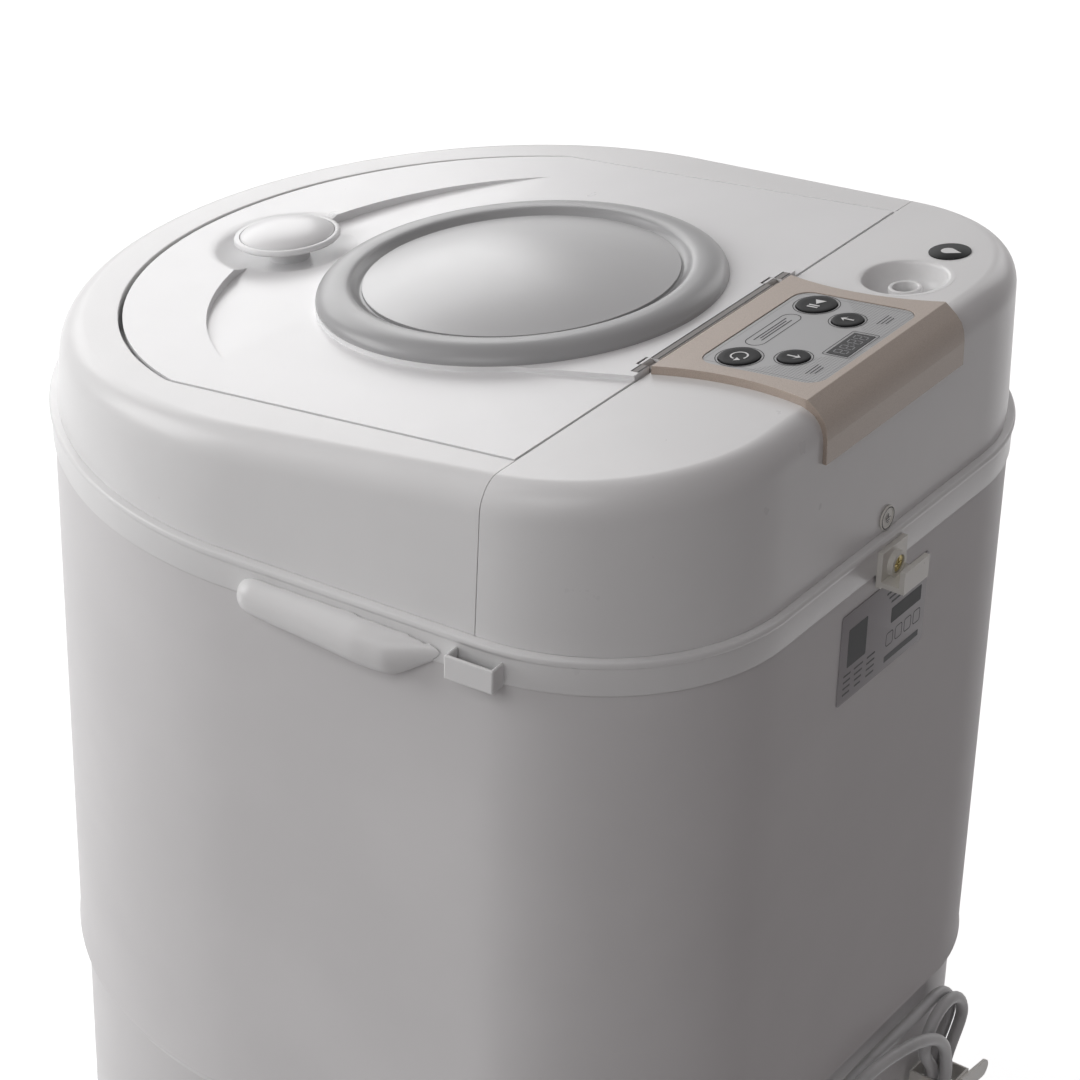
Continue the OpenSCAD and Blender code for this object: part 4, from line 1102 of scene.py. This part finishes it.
@dataclass
class TopHousing:
    """Front frame round the lid and console housing behind it."""

    band_in: float = 2.0
    draft_in: float = 2.0
    shoulder_in: float = 14.0
    shoulder_drop: float = 17.0
    shoulder_steps: int = 12
    seam_gap: float = 0.4
    skin: float = 2.6
    edge_r: float = 0.8
    lid_r: float = 180.0
    lid_ahead: float = 33.0
    lid_half: float = 171.0
    lid_gap: float = 1.2
    pocket_d: float = 14.0
    mouth_r: float = 130.0
    mouth_at: float = -30.0
    collar_z: float = 541.0
    dish: Pair = (-94.0, 170.0)
    dish_hole: float = 23.8
    window: Triple = (84.0, 58.0, 171.5)
    lug_x: float = 52.0
    lug_w: float = 8.0
    lug_r: float = 3.4
    hinge_back: float = 113.8
    hinge_deep: float = 1.0

    def outer_rings(self) -> list[list[Vector]]:
        """Rings of the outer skin, from the band up over the shoulder to the flat top."""
        foot = ((0.8, 0.0), (0.2, 0.25), (0.0, 0.9))
        rings = [level(PLAN.points(self.band_in + inset), TRIM_TOP + z) for inset, z in foot]
        for i in range(self.shoulder_steps + 1):
            turn = math.pi / 2 * i / self.shoulder_steps
            inset = self.band_in + self.draft_in + self.shoulder_in * (1 - math.cos(turn))
            rings.append(sloped(PLAN.points(inset), -self.shoulder_drop * (1 - math.sin(turn))))
        return rings

    def opening(self, point: Pair, out: float) -> Pair:
        """The point of the lid's recess that belongs to a point of the rim.

        Args:
            point: the rim's point.
            out: how far the recess is larger than the lid.

        Returns:
            The recess's point in the same plan.
        """
        x, y = point
        half, radius = self.lid_half + out, self.lid_r + out
        fall = math.sqrt(radius**2 - half**2)
        turn_y = -self.lid_ahead - fall
        if y >= turn_y:
            return max(-half, min(half, x)), y
        dx, dy = x, y - turn_y
        a, b, c = dx * dx + dy * dy, -2 * fall * dy, fall * fall - radius * radius
        share = (-b + math.sqrt(b * b - 4 * a * c)) / (2 * a)
        return dx * share, turn_y + dy * share

    def mouth(self, point: Pair, radius: float) -> Pair:
        """The point of the round mouth that belongs to a point of the recess."""
        towards = Vector((point[0], point[1] - self.mouth_at)).normalized() * radius
        return towards.x, self.mouth_at + towards.y

    def complete(self, shape: Shape, name: str, node: str) -> None:
        """Turns an open skin into a moulded wall with soft edges.

        Args:
            shape: the skin.
            name: the object's name.
            node: the CAD node it stands for.
        """
        made = shape.finish(name, "white_abs", MACHINE, hides=[node])
        thicken(made, self.skin)
        soften(made, self.edge_r, 50.0, 3)

    def build_front(self) -> None:
        """Makes the front frame with the lid's recess and the mouth under it."""
        rim = PLAN.points(self.band_in + self.draft_in + self.shoulder_in)
        gap, deep = self.lid_gap, self.pocket_d
        rings = self.outer_rings()
        for out, w in ((1.0, 0.0), (0.3, -0.25), (0.0, -0.9), (0.0, 0.8 - deep), (-0.8, -deep)):
            rings.append(sloped([self.opening(p, gap + out) for p in rim], w))
        inner = [self.opening(p, gap) for p in rim]
        collar = [self.mouth(p, self.mouth_r) for p in inner]
        rings.append(sloped([self.mouth(p, self.mouth_r + 1.0) for p in inner], -deep))
        rings += [sloped(collar, -deep - 0.8), level(collar, self.collar_z)]
        shape = Shape()
        shape.stack(rings)
        at = AXIS_Y + CONSOLE_BACK - self.seam_gap / 2
        shape.cut((0.0, at, 0.0), (0.0, 1.0, 0.0))
        self.complete(shape, "front_housing", "front_frame")

    def build_console(self) -> None:
        """Makes the console housing, closed in front and on top, with its two openings."""
        shape = Shape()
        shape.stack(self.outer_rings())
        at = AXIS_Y + CONSOLE_BACK + self.seam_gap / 2
        front = shape.cut((0.0, at, 0.0), (0.0, -1.0, 0.0))
        ends = {v for e in front for v in e.verts if len([f for f in v.link_edges if f in front]) == 1}
        halfway = (TRIM_TOP + LID_H) / 2
        ends = sorted(ends, key=lambda v: (v.co.z > halfway, v.co.x))
        closing = [
            bmesh.ops.contextual_create(shape.bm, geom=pair)["edges"][0] for pair in (ends[2:], ends[:2])
        ]
        bmesh.ops.contextual_create(shape.bm, geom=[*front, *closing])
        plane = [
            e for e in shape.bm.edges
            if all(abs(self.depth(v.co)) < 0.02 for v in e.verts) and len(e.link_faces) == 1
        ]
        holes = [
            circle((self.dish[0], self.dish[1] * math.cos(TILT)), self.dish_hole, 64),
            rounded(self.window[0], self.window[1], 4.0, (0.0, self.window[2]), 4),
        ]
        for corners in holes:
            on_plane = [(x, y if corners is holes[0] else y * math.cos(TILT)) for x, y in corners]
            plane += shape.edges_of(shape.loop(sloped(on_plane, 0.0)))
        bmesh.ops.triangle_fill(shape.bm, use_beauty=True, use_dissolve=False, edges=list(set(plane)))
        self.complete(shape, "console_skin", "console_housing")

    def build_lugs(self) -> None:
        """Makes the console's two lugs that hold the hinge rod."""
        lugs = Shape()
        for side in (-1, 1):
            middle = side * (self.lug_x + self.lug_w / 2)
            place = Matrix.Translation((middle, self.hinge_back, -self.hinge_deep))
            bmesh.ops.create_cone(
                lugs.bm, cap_ends=True, segments=48, radius1=self.lug_r, radius2=self.lug_r,
                depth=self.lug_w, matrix=place @ Matrix.Rotation(math.pi / 2, 4, "Y"),
            )
            neck = rounded(self.lug_w, 7.0, 0.3, (middle, self.hinge_back + 3.6), 2)
            lugs.plate(neck, -self.hinge_deep - self.lug_r + 0.1, self.hinge_deep)
        lugs.round_edges(0.3)
        lugs.finish("console_hinge_lugs", "hinge_grey", MACHINE, LID)

    @staticmethod
    def depth(point: Vector) -> float:
        """Height of a point over the sloping plane."""
        return (point.z - LID_H) * math.cos(TILT) - (point.y - AXIS_Y) * math.sin(TILT)

    def build(self) -> None:
        """Makes both halves and the lugs between them."""
        self.build_front()
        self.build_console()
        self.build_lugs()
        LOG.info("top housing: front frame, console and hinge lugs")


@dataclass
class LidAssembly:
    """The lid with its ring, domed window and knob."""

    ring_r: float = 106.0
    ring_mid: float = 94.0
    crown: float = 10.8
    groove_r: float = 87.0
    ring_floor: float = 8.0
    dome_seat: float = 78.0
    dome_r: float = 81.5
    dome_h: float = 11.0
    dome_t: float = 2.4
    panel_h: float = 2.5
    knob_ahead: float = 155.0
    knob_r: float = 28.7
    cap_r: float = 25.3
    cap_rise: float = 4.7
    rim_w: float = 2.0
    scoop_d: float = 9.0
    # width, start and end of the strip of painted gap shade behind the lid's raised panel
    strip: Triple = (138.0, 113.6, 118.2)

    def build_ring(self) -> None:
        """Makes the thick ring with its high crown and the groove inside it."""
        hole, seat = self.groove_r - 1.8, self.ring_floor - 2.8
        profile = [(self.dome_seat, seat), (hole - 3.0, seat), (hole - 3.0, 0.4), (hole, 0.4)]
        profile.append((hole, self.panel_h))
        for i in range(19):
            turn = math.pi / 2 * i / 18
            reach = self.ring_mid + (self.ring_r - self.ring_mid) * math.cos(turn)
            profile.append((reach, self.panel_h + (self.crown - self.panel_h) * math.sin(turn)))
        roll = [(4.4, 0.04), (2.4, 0.22), (1.2, 0.5), (0.45, 0.85), (-0.1, 1.5), (-0.9, 2.6), (-2.3, 3.9)]
        roll += [(-3.6, 4.6), (-4.6, 4.7)]
        profile += [(self.groove_r + out, self.crown - fall) for out, fall in roll]
        profile += [(self.dome_r + 0.3, self.crown - 4.4), (self.dome_r + 0.2, self.ring_floor)]
        profile += [(self.dome_seat, self.ring_floor), (self.dome_seat, seat)]
        turned(profile, "lid_ring_skin", "ring_grey", LID_BODY, ["lid_ring"], soft=50.0)

    @staticmethod
    def bow(radius: float, swing: float, steps: int) -> list[Pair]:
        """Points of a bow from its top outwards."""
        turns = [swing * i / steps for i in range(steps + 1)]
        return [(radius * math.sin(turn), radius * math.cos(turn)) for turn in turns]

    def build_dome(self) -> None:
        """Makes the domed window as a thin cap."""
        reach = self.dome_r
        ball = (reach**2 + self.dome_h**2) / (2 * self.dome_h)
        swing = math.asin(reach / ball)
        base = self.ring_floor + self.dome_h - ball
        under = ball - self.dome_t
        foot = math.sqrt(under**2 - (ball - self.dome_h) ** 2)
        low = math.asin(foot / under)
        profile = [(r, h + base) for r, h in self.bow(ball, swing, 28)]
        profile[-1] = (reach - 0.4, profile[-1][1] + 0.15)
        profile += [(reach, self.ring_floor + 0.05), (foot, self.ring_floor + 0.05)]
        profile += [(r, base + h) for r, h in self.bow(under, low, 10)[9::-1]]
        turned(profile, "lid_dome_skin", "dome_grey", LID_BODY, ["lid_dome"])

    def build_painted_gap_shade_strip(self) -> None:
        """Makes a dark grey strip of painted shade between the hinge lugs, where the gap at the lid's
        rear edge falls in shadow, with dark lines of painted shadow along its edges, and the covers of
        the slots round them.
        """
        width, start, end = self.strip
        low, high = self.panel_h - 0.06, self.panel_h + 0.12
        lug, lug_w, free = TopHousing.lug_x, TopHousing.lug_w, 0.5
        outer = (lug + lug_w + free, width / 2)
        strip, lines = Shape(), Shape()
        for left, right in ((free - lug, lug - free), outer, (-outer[1], -outer[0])):
            middle, long = (left + right) / 2, right - left
            # dark grey plates that paint the shade of the gap between the raised panel and the hinge
            strip.plate(rounded(long, end - start, 0.3, (middle, (start + end) / 2), 3), low, high)
            # a dark line along each edge of the strip: painted shadow of the gap
            for v in (start + 0.4, end - 0.4):
                lines.flat(rounded(long, 0.8, 0.1, (middle, v), 2), high + 0.04)
        strip.finish("painted_gap_shade_strip", "hinge_grey", LID_BODY, LID)
        lines.finish("painted_gap_shade_strip_lines", "dark_ink", LID_BODY, LID, tidy=False)
        places = [("hinge_slot_covers", LID_BODY, 2.9, 5.2, lug_w + 3.0)]
        places.append(("lug_covers", MACHINE, 0.2, 1.5, lug_w))
        for name, body, near, far, long in places:
            covers = Shape()
            for side in (-1, 1):
                at = (side * (lug + lug_w / 2), TopHousing.hinge_back - (near + far) / 2)
                covers.plate(rounded(long, far - near, 0.2, at, 2), low, self.panel_h + 0.04)
            covers.finish(name, "white_lid", body, LID)

    def build_knob(self) -> None:
        """Makes the knob's base with its rim, and the cap in it."""
        rim, low, cup = self.knob_r, self.rim_w, self.cap_r
        start, floor = low + 1.6, 0.6 - self.scoop_d
        profile = [(0.0, floor), (11.0, floor), (11.0, low)]
        roll = ((-2.0, 0.0), (-0.7, 0.4), (0.0, 1.2), (0.0, 2.3), (-0.3, 3.0), (-0.9, 3.4))
        profile += [(rim + out, low + up) for out, up in roll]
        profile += [(cup + out, low + up) for out, up in ((0.5, 3.3), (0.2, 2.8), (0.2, 1.6))]
        profile.append((0.0, start))
        at = (0.0, -self.knob_ahead)
        turned(profile, "knob_base_skin", "white_lid", LID_BODY, ["knob_base"], at, 120)
        profile = [(0.0, start), (cup, start), (cup, start + 1.7)]
        for i in range(1, 15):
            r = cup * (1 - (i / 14) ** 1.6)
            profile.append((r, start + 1.7 + self.cap_rise * (1 - (r / cup) ** 2.6) ** 0.75))
        turned(profile, "knob_cap_skin", "white_lid", LID_BODY, ["knob_cap"], at, 120)

    def build(self) -> None:
        """Makes the lid's pieces."""
        refine("lid", "white_lid", LID_BODY, width=0.9, limit=24.0, segments=3)
        self.build_ring()
        self.build_dome()
        self.build_knob()
        # the strip is painted shade of the gap at the lid's rear edge
        self.build_painted_gap_shade_strip()
        LOG.info("lid: plate, ring, dome, knob and painted gap shade strip")


@dataclass
class ControlPanel:
    """Champagne bezel with the overlay, display, four keys and their generic marks."""

    bezel_h: float = 4.5
    overlay_deep: float = 1.6
    overlay_t: float = 1.2
    rise: float = 0.8
    stem_r: float = 3.0
    big: Triple = (35.5, 154.0, 10.3)
    small: Triple = (25.0, 178.0, 8.0)
    screen: Triple = (27.0, 12.0, 194.8)
    ink: float = 0.06

    @property
    def top(self) -> float:
        """Height of the overlay's face."""
        return self.bezel_h - self.overlay_deep + self.overlay_t

    def build_key(self, node: str, side: int, size: Triple, draw: Callable[..., None]) -> None:
        """Makes one domed key with its flange, stem and mark.

        Args:
            node: the CAD node it stands for.
            side: 1 on the right of the middle, -1 on the left.
            size: its place across and behind the lid axis, and its radius.
            draw: draws its mark.
        """
        x, back, radius = side * size[0], size[1], size[2]
        base = self.bezel_h - self.overlay_deep - 0.3
        crown = self.top + self.rise
        profile = [(0.0, 0.0), (self.stem_r, 0.0), (self.stem_r, base - 1.0), (radius + 1.0, base - 1.0)]
        profile += [(radius + 1.0, base), (radius, base), (radius, crown - 0.45)]
        profile += [(radius - 0.15, crown - 0.15), (radius - 0.5, crown - 0.02)]
        profile += [(radius * 0.7, crown - 0.06), (radius * 0.35, crown - 0.12), (0.0, crown - 0.14)]
        body = node.replace("button", "key")
        turned(profile, node + "_skin", "black_key", body, [node], (x, back), 72)
        mark = Shape()
        draw(mark, x, back, crown)
        mark.finish(node + "_mark", "white_ink", body, LID, tidy=False)

    @staticmethod
    def turning_arrow(mark: Shape, x: float, back: float, w: float) -> None:
        """Draws an arrow that runs round.

        Args:
            mark: where it is drawn.
            x: its place across.
            back: its place behind the lid axis.
            w: its height.
        """
        outer, inner = (arc((x, back), r, math.radians(60), math.radians(350), 28) for r in (4.6, 3.7))
        for a, b, c, d in zip(outer, outer[1:], inner[1:], inner):
            mark.flat([a, b, c, d], w)
        mark.flat([(x + 2.4, back + 0.2), (x + 6.3, back + 0.2), (x + 4.3, back + 3.2)], w)

    @staticmethod
    def play_and_pause(mark: Shape, x: float, back: float, w: float) -> None:
        """Draws a triangle and two bars.

        Args:
            mark: where it is drawn.
            x: its place across.
            back: its place behind the lid axis.
            w: its height.
        """
        mark.flat([(x - 4.6, back - 3.2), (x + 0.4, back), (x - 4.6, back + 3.2)], w)
        for shift in (1.6, 3.7):
            mark.bar((x + shift, back - 3.0), (x + shift + 1.2, back + 3.0), w)

    @staticmethod
    def arrow(mark: Shape, x: float, back: float, w: float, way: float = 1.0) -> None:
        """Draws a plain arrow.

        Args:
            mark: where it is drawn.
            x: its place across.
            back: its place behind the lid axis.
            w: its height.
            way: 1 for an arrow to the back, -1 to the front.
        """
        mark.bar((x - 0.55, back - 3.6 * way), (x + 0.55, back + 2.4 * way), w)
        for out in (-2.7, 2.7):
            mark.flat([(x + out, back + 0.7 * way), (x, back + 3.9 * way), (x, back + 2.2 * way)], w)

    def build_prints(self) -> None:
        """Prints the rings round the keys and the empty pill between them."""
        w = self.top + self.ink
        lines = Shape()
        for side in (-1, 1):
            for x, back, radius in (self.big, self.small):
                lines.outline(circle((side * x, back), radius + 1.7, 72), 0.45, w)
        pill = self.big[1] - 3.0
        lines.outline(rounded(42.0, 11.0, 5.4, (0.0, pill)), 0.5, w)
        for row, width in ((-1.9, 30.0), (0.0, 24.0), (1.9, 28.0)):
            lines.flat(rounded(width, 0.7, 0.3, (0.0, pill + row), 2), w)
        for side in (-1, 1):
            for row in range(3):
                lines.flat(rounded(12.0 - 2.0 * row, 0.6, 0.25, (side * 33.0, 193.0 + 2.0 * row), 2), w)
        wide, long, middle = self.screen
        lines.outline(rounded(wide + 3.4, long + 3.4, 1.6, (0.0, middle)), 0.4, w)
        lines.finish("overlay_lines", "dark_ink", MACHINE, LID, tidy=False)

    def build_screen(self) -> None:
        """Makes the display with four unlit figures behind its face."""
        refine("display_window", "black_gloss", width=0.15)
        w = self.top + 0.1 + 0.03
        figures = Shape()
        for place in (-9.2, -3.6, 3.6, 9.2):
            self.figure(figures, place, self.screen[2], w)
        for shift in (-1.5, 1.5):
            figures.flat(circle((0.0, self.screen[2] + shift), 0.45, 12), w)
        figures.finish("display_figures", "segment_ink", MACHINE, LID, tidy=False)

    @staticmethod
    def figure(figures: Shape, x: float, back: float, w: float) -> None:
        """Draws the seven bars of one figure.

        Args:
            figures: where it is drawn.
            x: its place across.
            back: its place behind the lid axis.
            w: its height.
        """
        half, tall, line = 1.75, 3.6, 0.55 / 2
        for at in (back - tall, back, back + tall):
            figures.bar((x - half + 0.3, at - line), (x + half - 0.3, at + line), w)
        for at in (x - half, x + half):
            for low in (back - tall + 0.4, back + 0.4):
                figures.bar((at - line, low), (at + line, low + tall - 0.8), w)

    def build(self) -> None:
        """Makes the panel's pieces."""
        refine("control_bezel", "champagne", width=1.1, limit=30.0, segments=3)
        refine("overlay_panel", "silver_film", width=0.2)
        self.build_screen()
        self.build_prints()
        self.build_key("program_button", 1, self.big, self.turning_arrow)
        self.build_key("start_button", -1, self.big, self.play_and_pause)
        self.build_key("time_up_button", 1, self.small, self.arrow)
        self.build_key("time_down_button", -1, self.small, partial(self.arrow, way=-1.0))
        LOG.info("control panel: bezel, overlay, display, four keys")


@dataclass
class WaterInlet:
    """Round dish with the filling spigot, and the badge beside it."""

    dish: Pair = (-94.0, 170.0)
    dish_r: float = 22.0
    dish_d: float = 14.0
    wall: float = 2.0
    spigot_r: float = 8.7
    spigot_wall: float = 2.2
    spigot_deep: float = 5.0
    badge: Pair = (-133.0, 174.0)
    badge_r: float = 11.0

    def build_dish(self) -> None:
        """Turns dish and spigot as one piece, with a soft flush rim."""
        rim, deep, pipe = self.dish_r, self.dish_d, self.spigot_r
        bore, tip = pipe - self.spigot_wall, -self.spigot_deep
        under, side = -deep - self.wall, rim + self.wall
        profile = [(bore, under), (side - 0.1, under), (side - 0.1, -0.3)]
        profile += [(side + 1.6, -0.02), (side + 1.6, 0.06)]
        bowl = [(1.4, 0.04), (0.7, -0.12), (0.1, -0.55), (-0.25, -1.2), (-0.5, -2.4), (-0.9, -5.5)]
        bowl += [(-1.8, -9.0), (-3.2, -11.6), (-5.4, -13.3), (-8.0, -deep)]
        profile += [(rim + out, w) for out, w in bowl]
        profile += [(pipe + out, up - deep) for out, up in ((1.2, 0.0), (0.3, 0.3), (0.0, 1.2))]
        profile += [(pipe - into, tip - down) for into, down in ((0.0, 0.8), (0.25, 0.2), (0.8, 0.0))]
        profile += [(bore + out, tip - down) for out, down in ((0.6, 0.0), (0.15, 0.2), (0.0, 0.8))]
        profile.append((bore, under))
        turned(profile, "inlet_dish_skin", "white_abs", MACHINE, ["inlet_spigot"], self.dish, 96)

    def build_badge(self) -> None:
        """Makes the black badge and its plain drop."""
        r = self.badge_r
        profile = [(0.0, 0.0), (r, 0.0), (r, 0.4), (r - 0.25, 0.58), (0.0, 0.6)]
        turned(profile, "inlet_badge_skin", "black_key", MACHINE, ["inlet_badge"], self.badge, 80)
        x, y = self.badge
        drop = arc((x, y - 1.2), 3.6, math.radians(155), math.radians(385), 24) + [(x, y + 6.6)]
        mark = Shape()
        mark.flat(drop, 0.66)
        mark.finish("inlet_badge_mark", "white_ink", MACHINE, LID, tidy=False)

    def build(self) -> None:
        """Makes the inlet's pieces."""
        self.build_dish()
        self.build_badge()
        LOG.info("water inlet: dish, spigot and badge")


@dataclass
class BackFittings:
    """Hook, earth mark and plain plate on the back."""

    plate: Pair = (-1.5, 478.5)
    plate_w: float = 84.0
    plate_h: float = 52.0
    plate_t: float = 0.6

    @staticmethod
    def on_back(x: float, y: float, z: float) -> Matrix:
        """Frame on the back wall, seen from behind, with its third axis outwards."""
        turn = Matrix.Rotation(math.pi / 2, 4, "X") @ Matrix.Rotation(math.pi, 4, "Y")
        return ROOT @ Matrix.Translation((x, y, z)) @ turn

    def build_mark(self) -> None:
        """Prints the earth sign on the small mark: a ring, a stem and three bars."""
        low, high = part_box("earth_mark")
        x, z = ((a + b) / 2 / MM for a, b in ((low[0], high[0]), (low[2], high[2])))
        radius = (high[0] - low[0]) / 2 / MM
        ink = Shape()
        ink.outline(circle((0.0, 0.0), radius - 0.5, 48), 0.6, 0.0)
        ink.flat(rounded(0.7, 2.4, 0.1, (0.0, 1.5), 1), 0.0)
        for row, width in ((0.2, 4.6), (-1.1, 3.2), (-2.3, 1.8)):
            ink.flat(rounded(width, 0.6, 0.1, (0.0, row), 1), 0.0)
        place = self.on_back(x, high[1] / MM + 0.05, z)
        ink.finish("earth_mark_sign", "dark_ink", MACHINE, place, tidy=False)

    def build_plate(self) -> None:
        """Makes the plate with its plain fields and rules."""
        place = self.on_back(self.plate[0], BACK_Y, self.plate[1])
        shape = Shape()
        shape.plate(rounded(self.plate_w, self.plate_h, 2.0), 0.02, self.plate_t)
        shape.tidy()
        shape.round_edges(0.15)
        shape.finish("rating_plate_skin", "label_film", MACHINE, place, ["rating_plate"])
        fields, rules = Shape(), Shape()
        w = self.plate_t + 0.06
        for x, y, width, length in ((22.0, 4.0, 30.0, 9.0), (-26.0, 5.0, 18.0, 22.0)):
            fields.flat(rounded(width, length, 0.8, (x, y), 3), w)
        for row in range(4):
            for x, width in ((-34.0, 7.0), (-23.0, 9.0 - row), (-11.0, 8.0)):
                rules.flat(rounded(width, 1.1, 0.3, (x, -10.0 - 3.6 * row), 2), w)
        for row in range(3):
            rules.flat(rounded(34.0 - 5.0 * row, 1.3, 0.3, (18.0, 19.0 - 3.2 * row), 2), w)
        for column in range(4):
            rules.outline(rounded(7.0, 8.0, 1.6, (7.0 + 9.0 * column, -9.0), 3), 0.5, w)
        rules.flat(rounded(34.0, 3.6, 0.4, (20.0, -20.0), 2), w)
        fields.finish("rating_plate_fields", "label_field", MACHINE, place, tidy=False)
        rules.finish("rating_plate_rules", "dark_ink", MACHINE, place, tidy=False)

    def build(self) -> None:
        """Makes the fittings."""
        refine("rear_hook", "ivory_plastic", width=1.1, segments=3)
        refine("hook_screw", "brass_screw", width=0.3)
        refine("earth_mark", "ivory_plastic", width=0.2)
        self.build_mark()
        self.build_plate()
        LOG.info("back fittings: hook, screw, earth mark and plate")


@dataclass
class Drive:
    """Tub, pulsator, motor and the other pieces inside, which keep their CAD shape."""

    finishes: dict[str, str] = field(default_factory=lambda: {
        "foot_screws": "zinc_steel", "control_board": "circuit_board", "board_screws": "zinc_steel",
        "inlet_duct": "grey_plastic", "tub_stand": "grey_plastic", "drain_pipe": "grey_plastic",
        "bearing_housing": "cast_housing", "shaft_bearings": "bearing_steel", "water_seal": "foot_rubber",
        "drive_shaft": "bearing_steel", "pulsator_screw": "zinc_steel", "tub_pulley": "cast_housing",
        "pulley_nut": "zinc_steel", "drive_belt": "foot_rubber", "motor": "motor_paint",
        "motor_shaft": "bearing_steel", "motor_pulley": "cast_housing", "motor_bracket": "zinc_steel",
        "motor_grommets": "foot_rubber", "run_capacitor": "grey_plastic", "hinge_rod": "zinc_steel"})

    def build(self) -> None:
        """Gives each piece its material; the tub and pulsator get soft edges too."""
        for node, finish in self.finishes.items():
            for slot_at in frame["nodes"][node].material_slots:
                slot_at.material = paint(finish)
        refine("wash_tub", "tub_plastic", width=0.8)
        refine("pulsator", "pulsator_blue", "pulsator_body", width=1.2, segments=3)
        LOG.info("drive: %d pieces keep their CAD shape", len(self.finishes))


@dataclass
class Studio:
    """Pale floor, soft lamps and the camera at the photograph's angle."""

    lens: float = 114.3
    sensor: float = 36.0
    location: Triple = (1.2931, 0.9114, 1.3694)
    azimuth: float = 124.55
    elevation: float = 30.18
    roll: float = 1.54
    floor_half: float = 14.0
    floor_glow: float = 0.82
    fill: float = 0.15
    fill_colour: Triple = (1.0, 0.9, 0.91)
    aim: Triple = (0.0, 0.0, 0.5)
    distance: float = 2.4
    lamps: dict[str, tuple[float, float, float, float, float]] = field(default_factory=lambda: {
        "front": (30.0, 20.0, 1.4, 1.2, 24.0),
        "high": (25.0, 48.0, 1.2, 1.2, 4.0),
        "side": (93.0, 36.0, 1.3, 1.2, 10.5),
        "window": (330.0, 24.0, 1.8, 1.3, 18.0),
        "left": (268.0, 24.0, 1.0, 1.2, 6.0)})

    @staticmethod
    def direction(azimuth: float, elevation: float) -> Vector:
        """The way from the machine to a place, from its two angles in degrees."""
        az, el = math.radians(azimuth), math.radians(elevation)
        return Vector((math.sin(az) * math.cos(el), -math.cos(az) * math.cos(el), math.sin(el)))

    def build_camera(self) -> None:
        """Places the camera."""
        roll = math.radians(self.roll)
        back = self.direction(self.azimuth, self.elevation)
        right = Vector((0.0, 0.0, 1.0)).cross(back).normalized()
        up = back.cross(right)
        turned_right = math.cos(roll) * right + math.sin(roll) * up
        raised = math.cos(roll) * up - math.sin(roll) * right
        data = bpy.data.cameras.new("camera")
        data.lens, data.sensor_fit = self.lens, "HORIZONTAL"
        data.sensor_width = data.sensor_height = self.sensor
        made = stand("camera", data)
        turn = Matrix((turned_right, raised, back)).transposed().to_4x4()
        made.matrix_world = Matrix.Translation(self.location) @ turn
        bpy.context.scene.camera = made

    def build_lamp(self, name: str, azimuth: float, elevation: float, size: Pair, power: float) -> None:
        """Adds a soft lamp that looks at the machine.

        Args:
            name: its name.
            azimuth: where it stands, in degrees from the front towards the right side.
            elevation: its height over the machine's middle, in degrees.
            size: its width and height in metres.
            power: its power in watts.
        """
        data = bpy.data.lights.new(name, "AREA")
        data.shape, data.size, data.size_y, data.energy = "RECTANGLE", *size, power
        made = stand(name, data)
        way = self.direction(azimuth, elevation)
        made.location = Vector(self.aim) + way * self.distance
        made.rotation_euler = way.to_track_quat("Z", "Y").to_euler()

    def build_world(self) -> None:
        """Gives the room an even light, and the camera a white background."""
        world = bpy.data.worlds.new("studio")
        bpy.context.scene.world = world
        maker = Maker(world)
        seen = maker.seen()
        settings = {"operation": "MULTIPLY_ADD", "use_clamp": True}
        strength = maker.node("ShaderNodeMath", settings, {0: seen, 1: 1.0 - self.fill, 2: self.fill})
        tone = maker.mix(seen, self.fill_colour, (1.0, 1.0, 1.0))
        sky = maker.node("ShaderNodeBackground", None, {"Color": tone, "Strength": strength})
        maker.close(sky, "ShaderNodeOutputWorld")

    def build_floor(self) -> None:
        """Lays the pale floor, lit up for the camera and in reflections only."""
        bm = bmesh.new()
        bmesh.ops.create_grid(bm, x_segments=1, y_segments=1, size=self.floor_half)
        mesh = bpy.data.meshes.new("floor")
        bm.to_mesh(mesh)
        bm.free()
        made = stand("floor", mesh)
        material = bpy.data.materials.new("floor")
        maker = Maker(material)
        colour = maker.mix(maker.noise(3.0), (0.5, 0.5, 0.5), (0.53, 0.53, 0.53))
        cloth = maker.node("ShaderNodeBsdfDiffuse", None, {"Color": colour})
        glow = maker.node("ShaderNodeEmission", None, {"Strength": maker.seen() * self.floor_glow})
        maker.close(maker.node("ShaderNodeAddShader", None, {0: cloth, 1: glow}))
        mesh.materials.append(material)

    def build(self) -> None:
        """Sets the stage."""
        self.build_world()
        self.build_floor()
        for name, (azimuth, elevation, width, height, power) in self.lamps.items():
            self.build_lamp(name, azimuth, elevation, (width, height), power)
        bpy.context.scene.view_settings.view_transform = "Standard"
        LOG.info("studio: floor, lamps and camera")


def main() -> None:
    """Builds every piece in order."""
    logging.basicConfig(level=logging.INFO, format="%(message)s")
    studio = Studio()
    studio.build_camera()
    MainsLead().build()
    for part in (Cabinet, TopHousing, LidAssembly, ControlPanel, WaterInlet, BackFittings, Drive):
        part().build()
    studio.build()


if __name__ == "__main__":
    main()
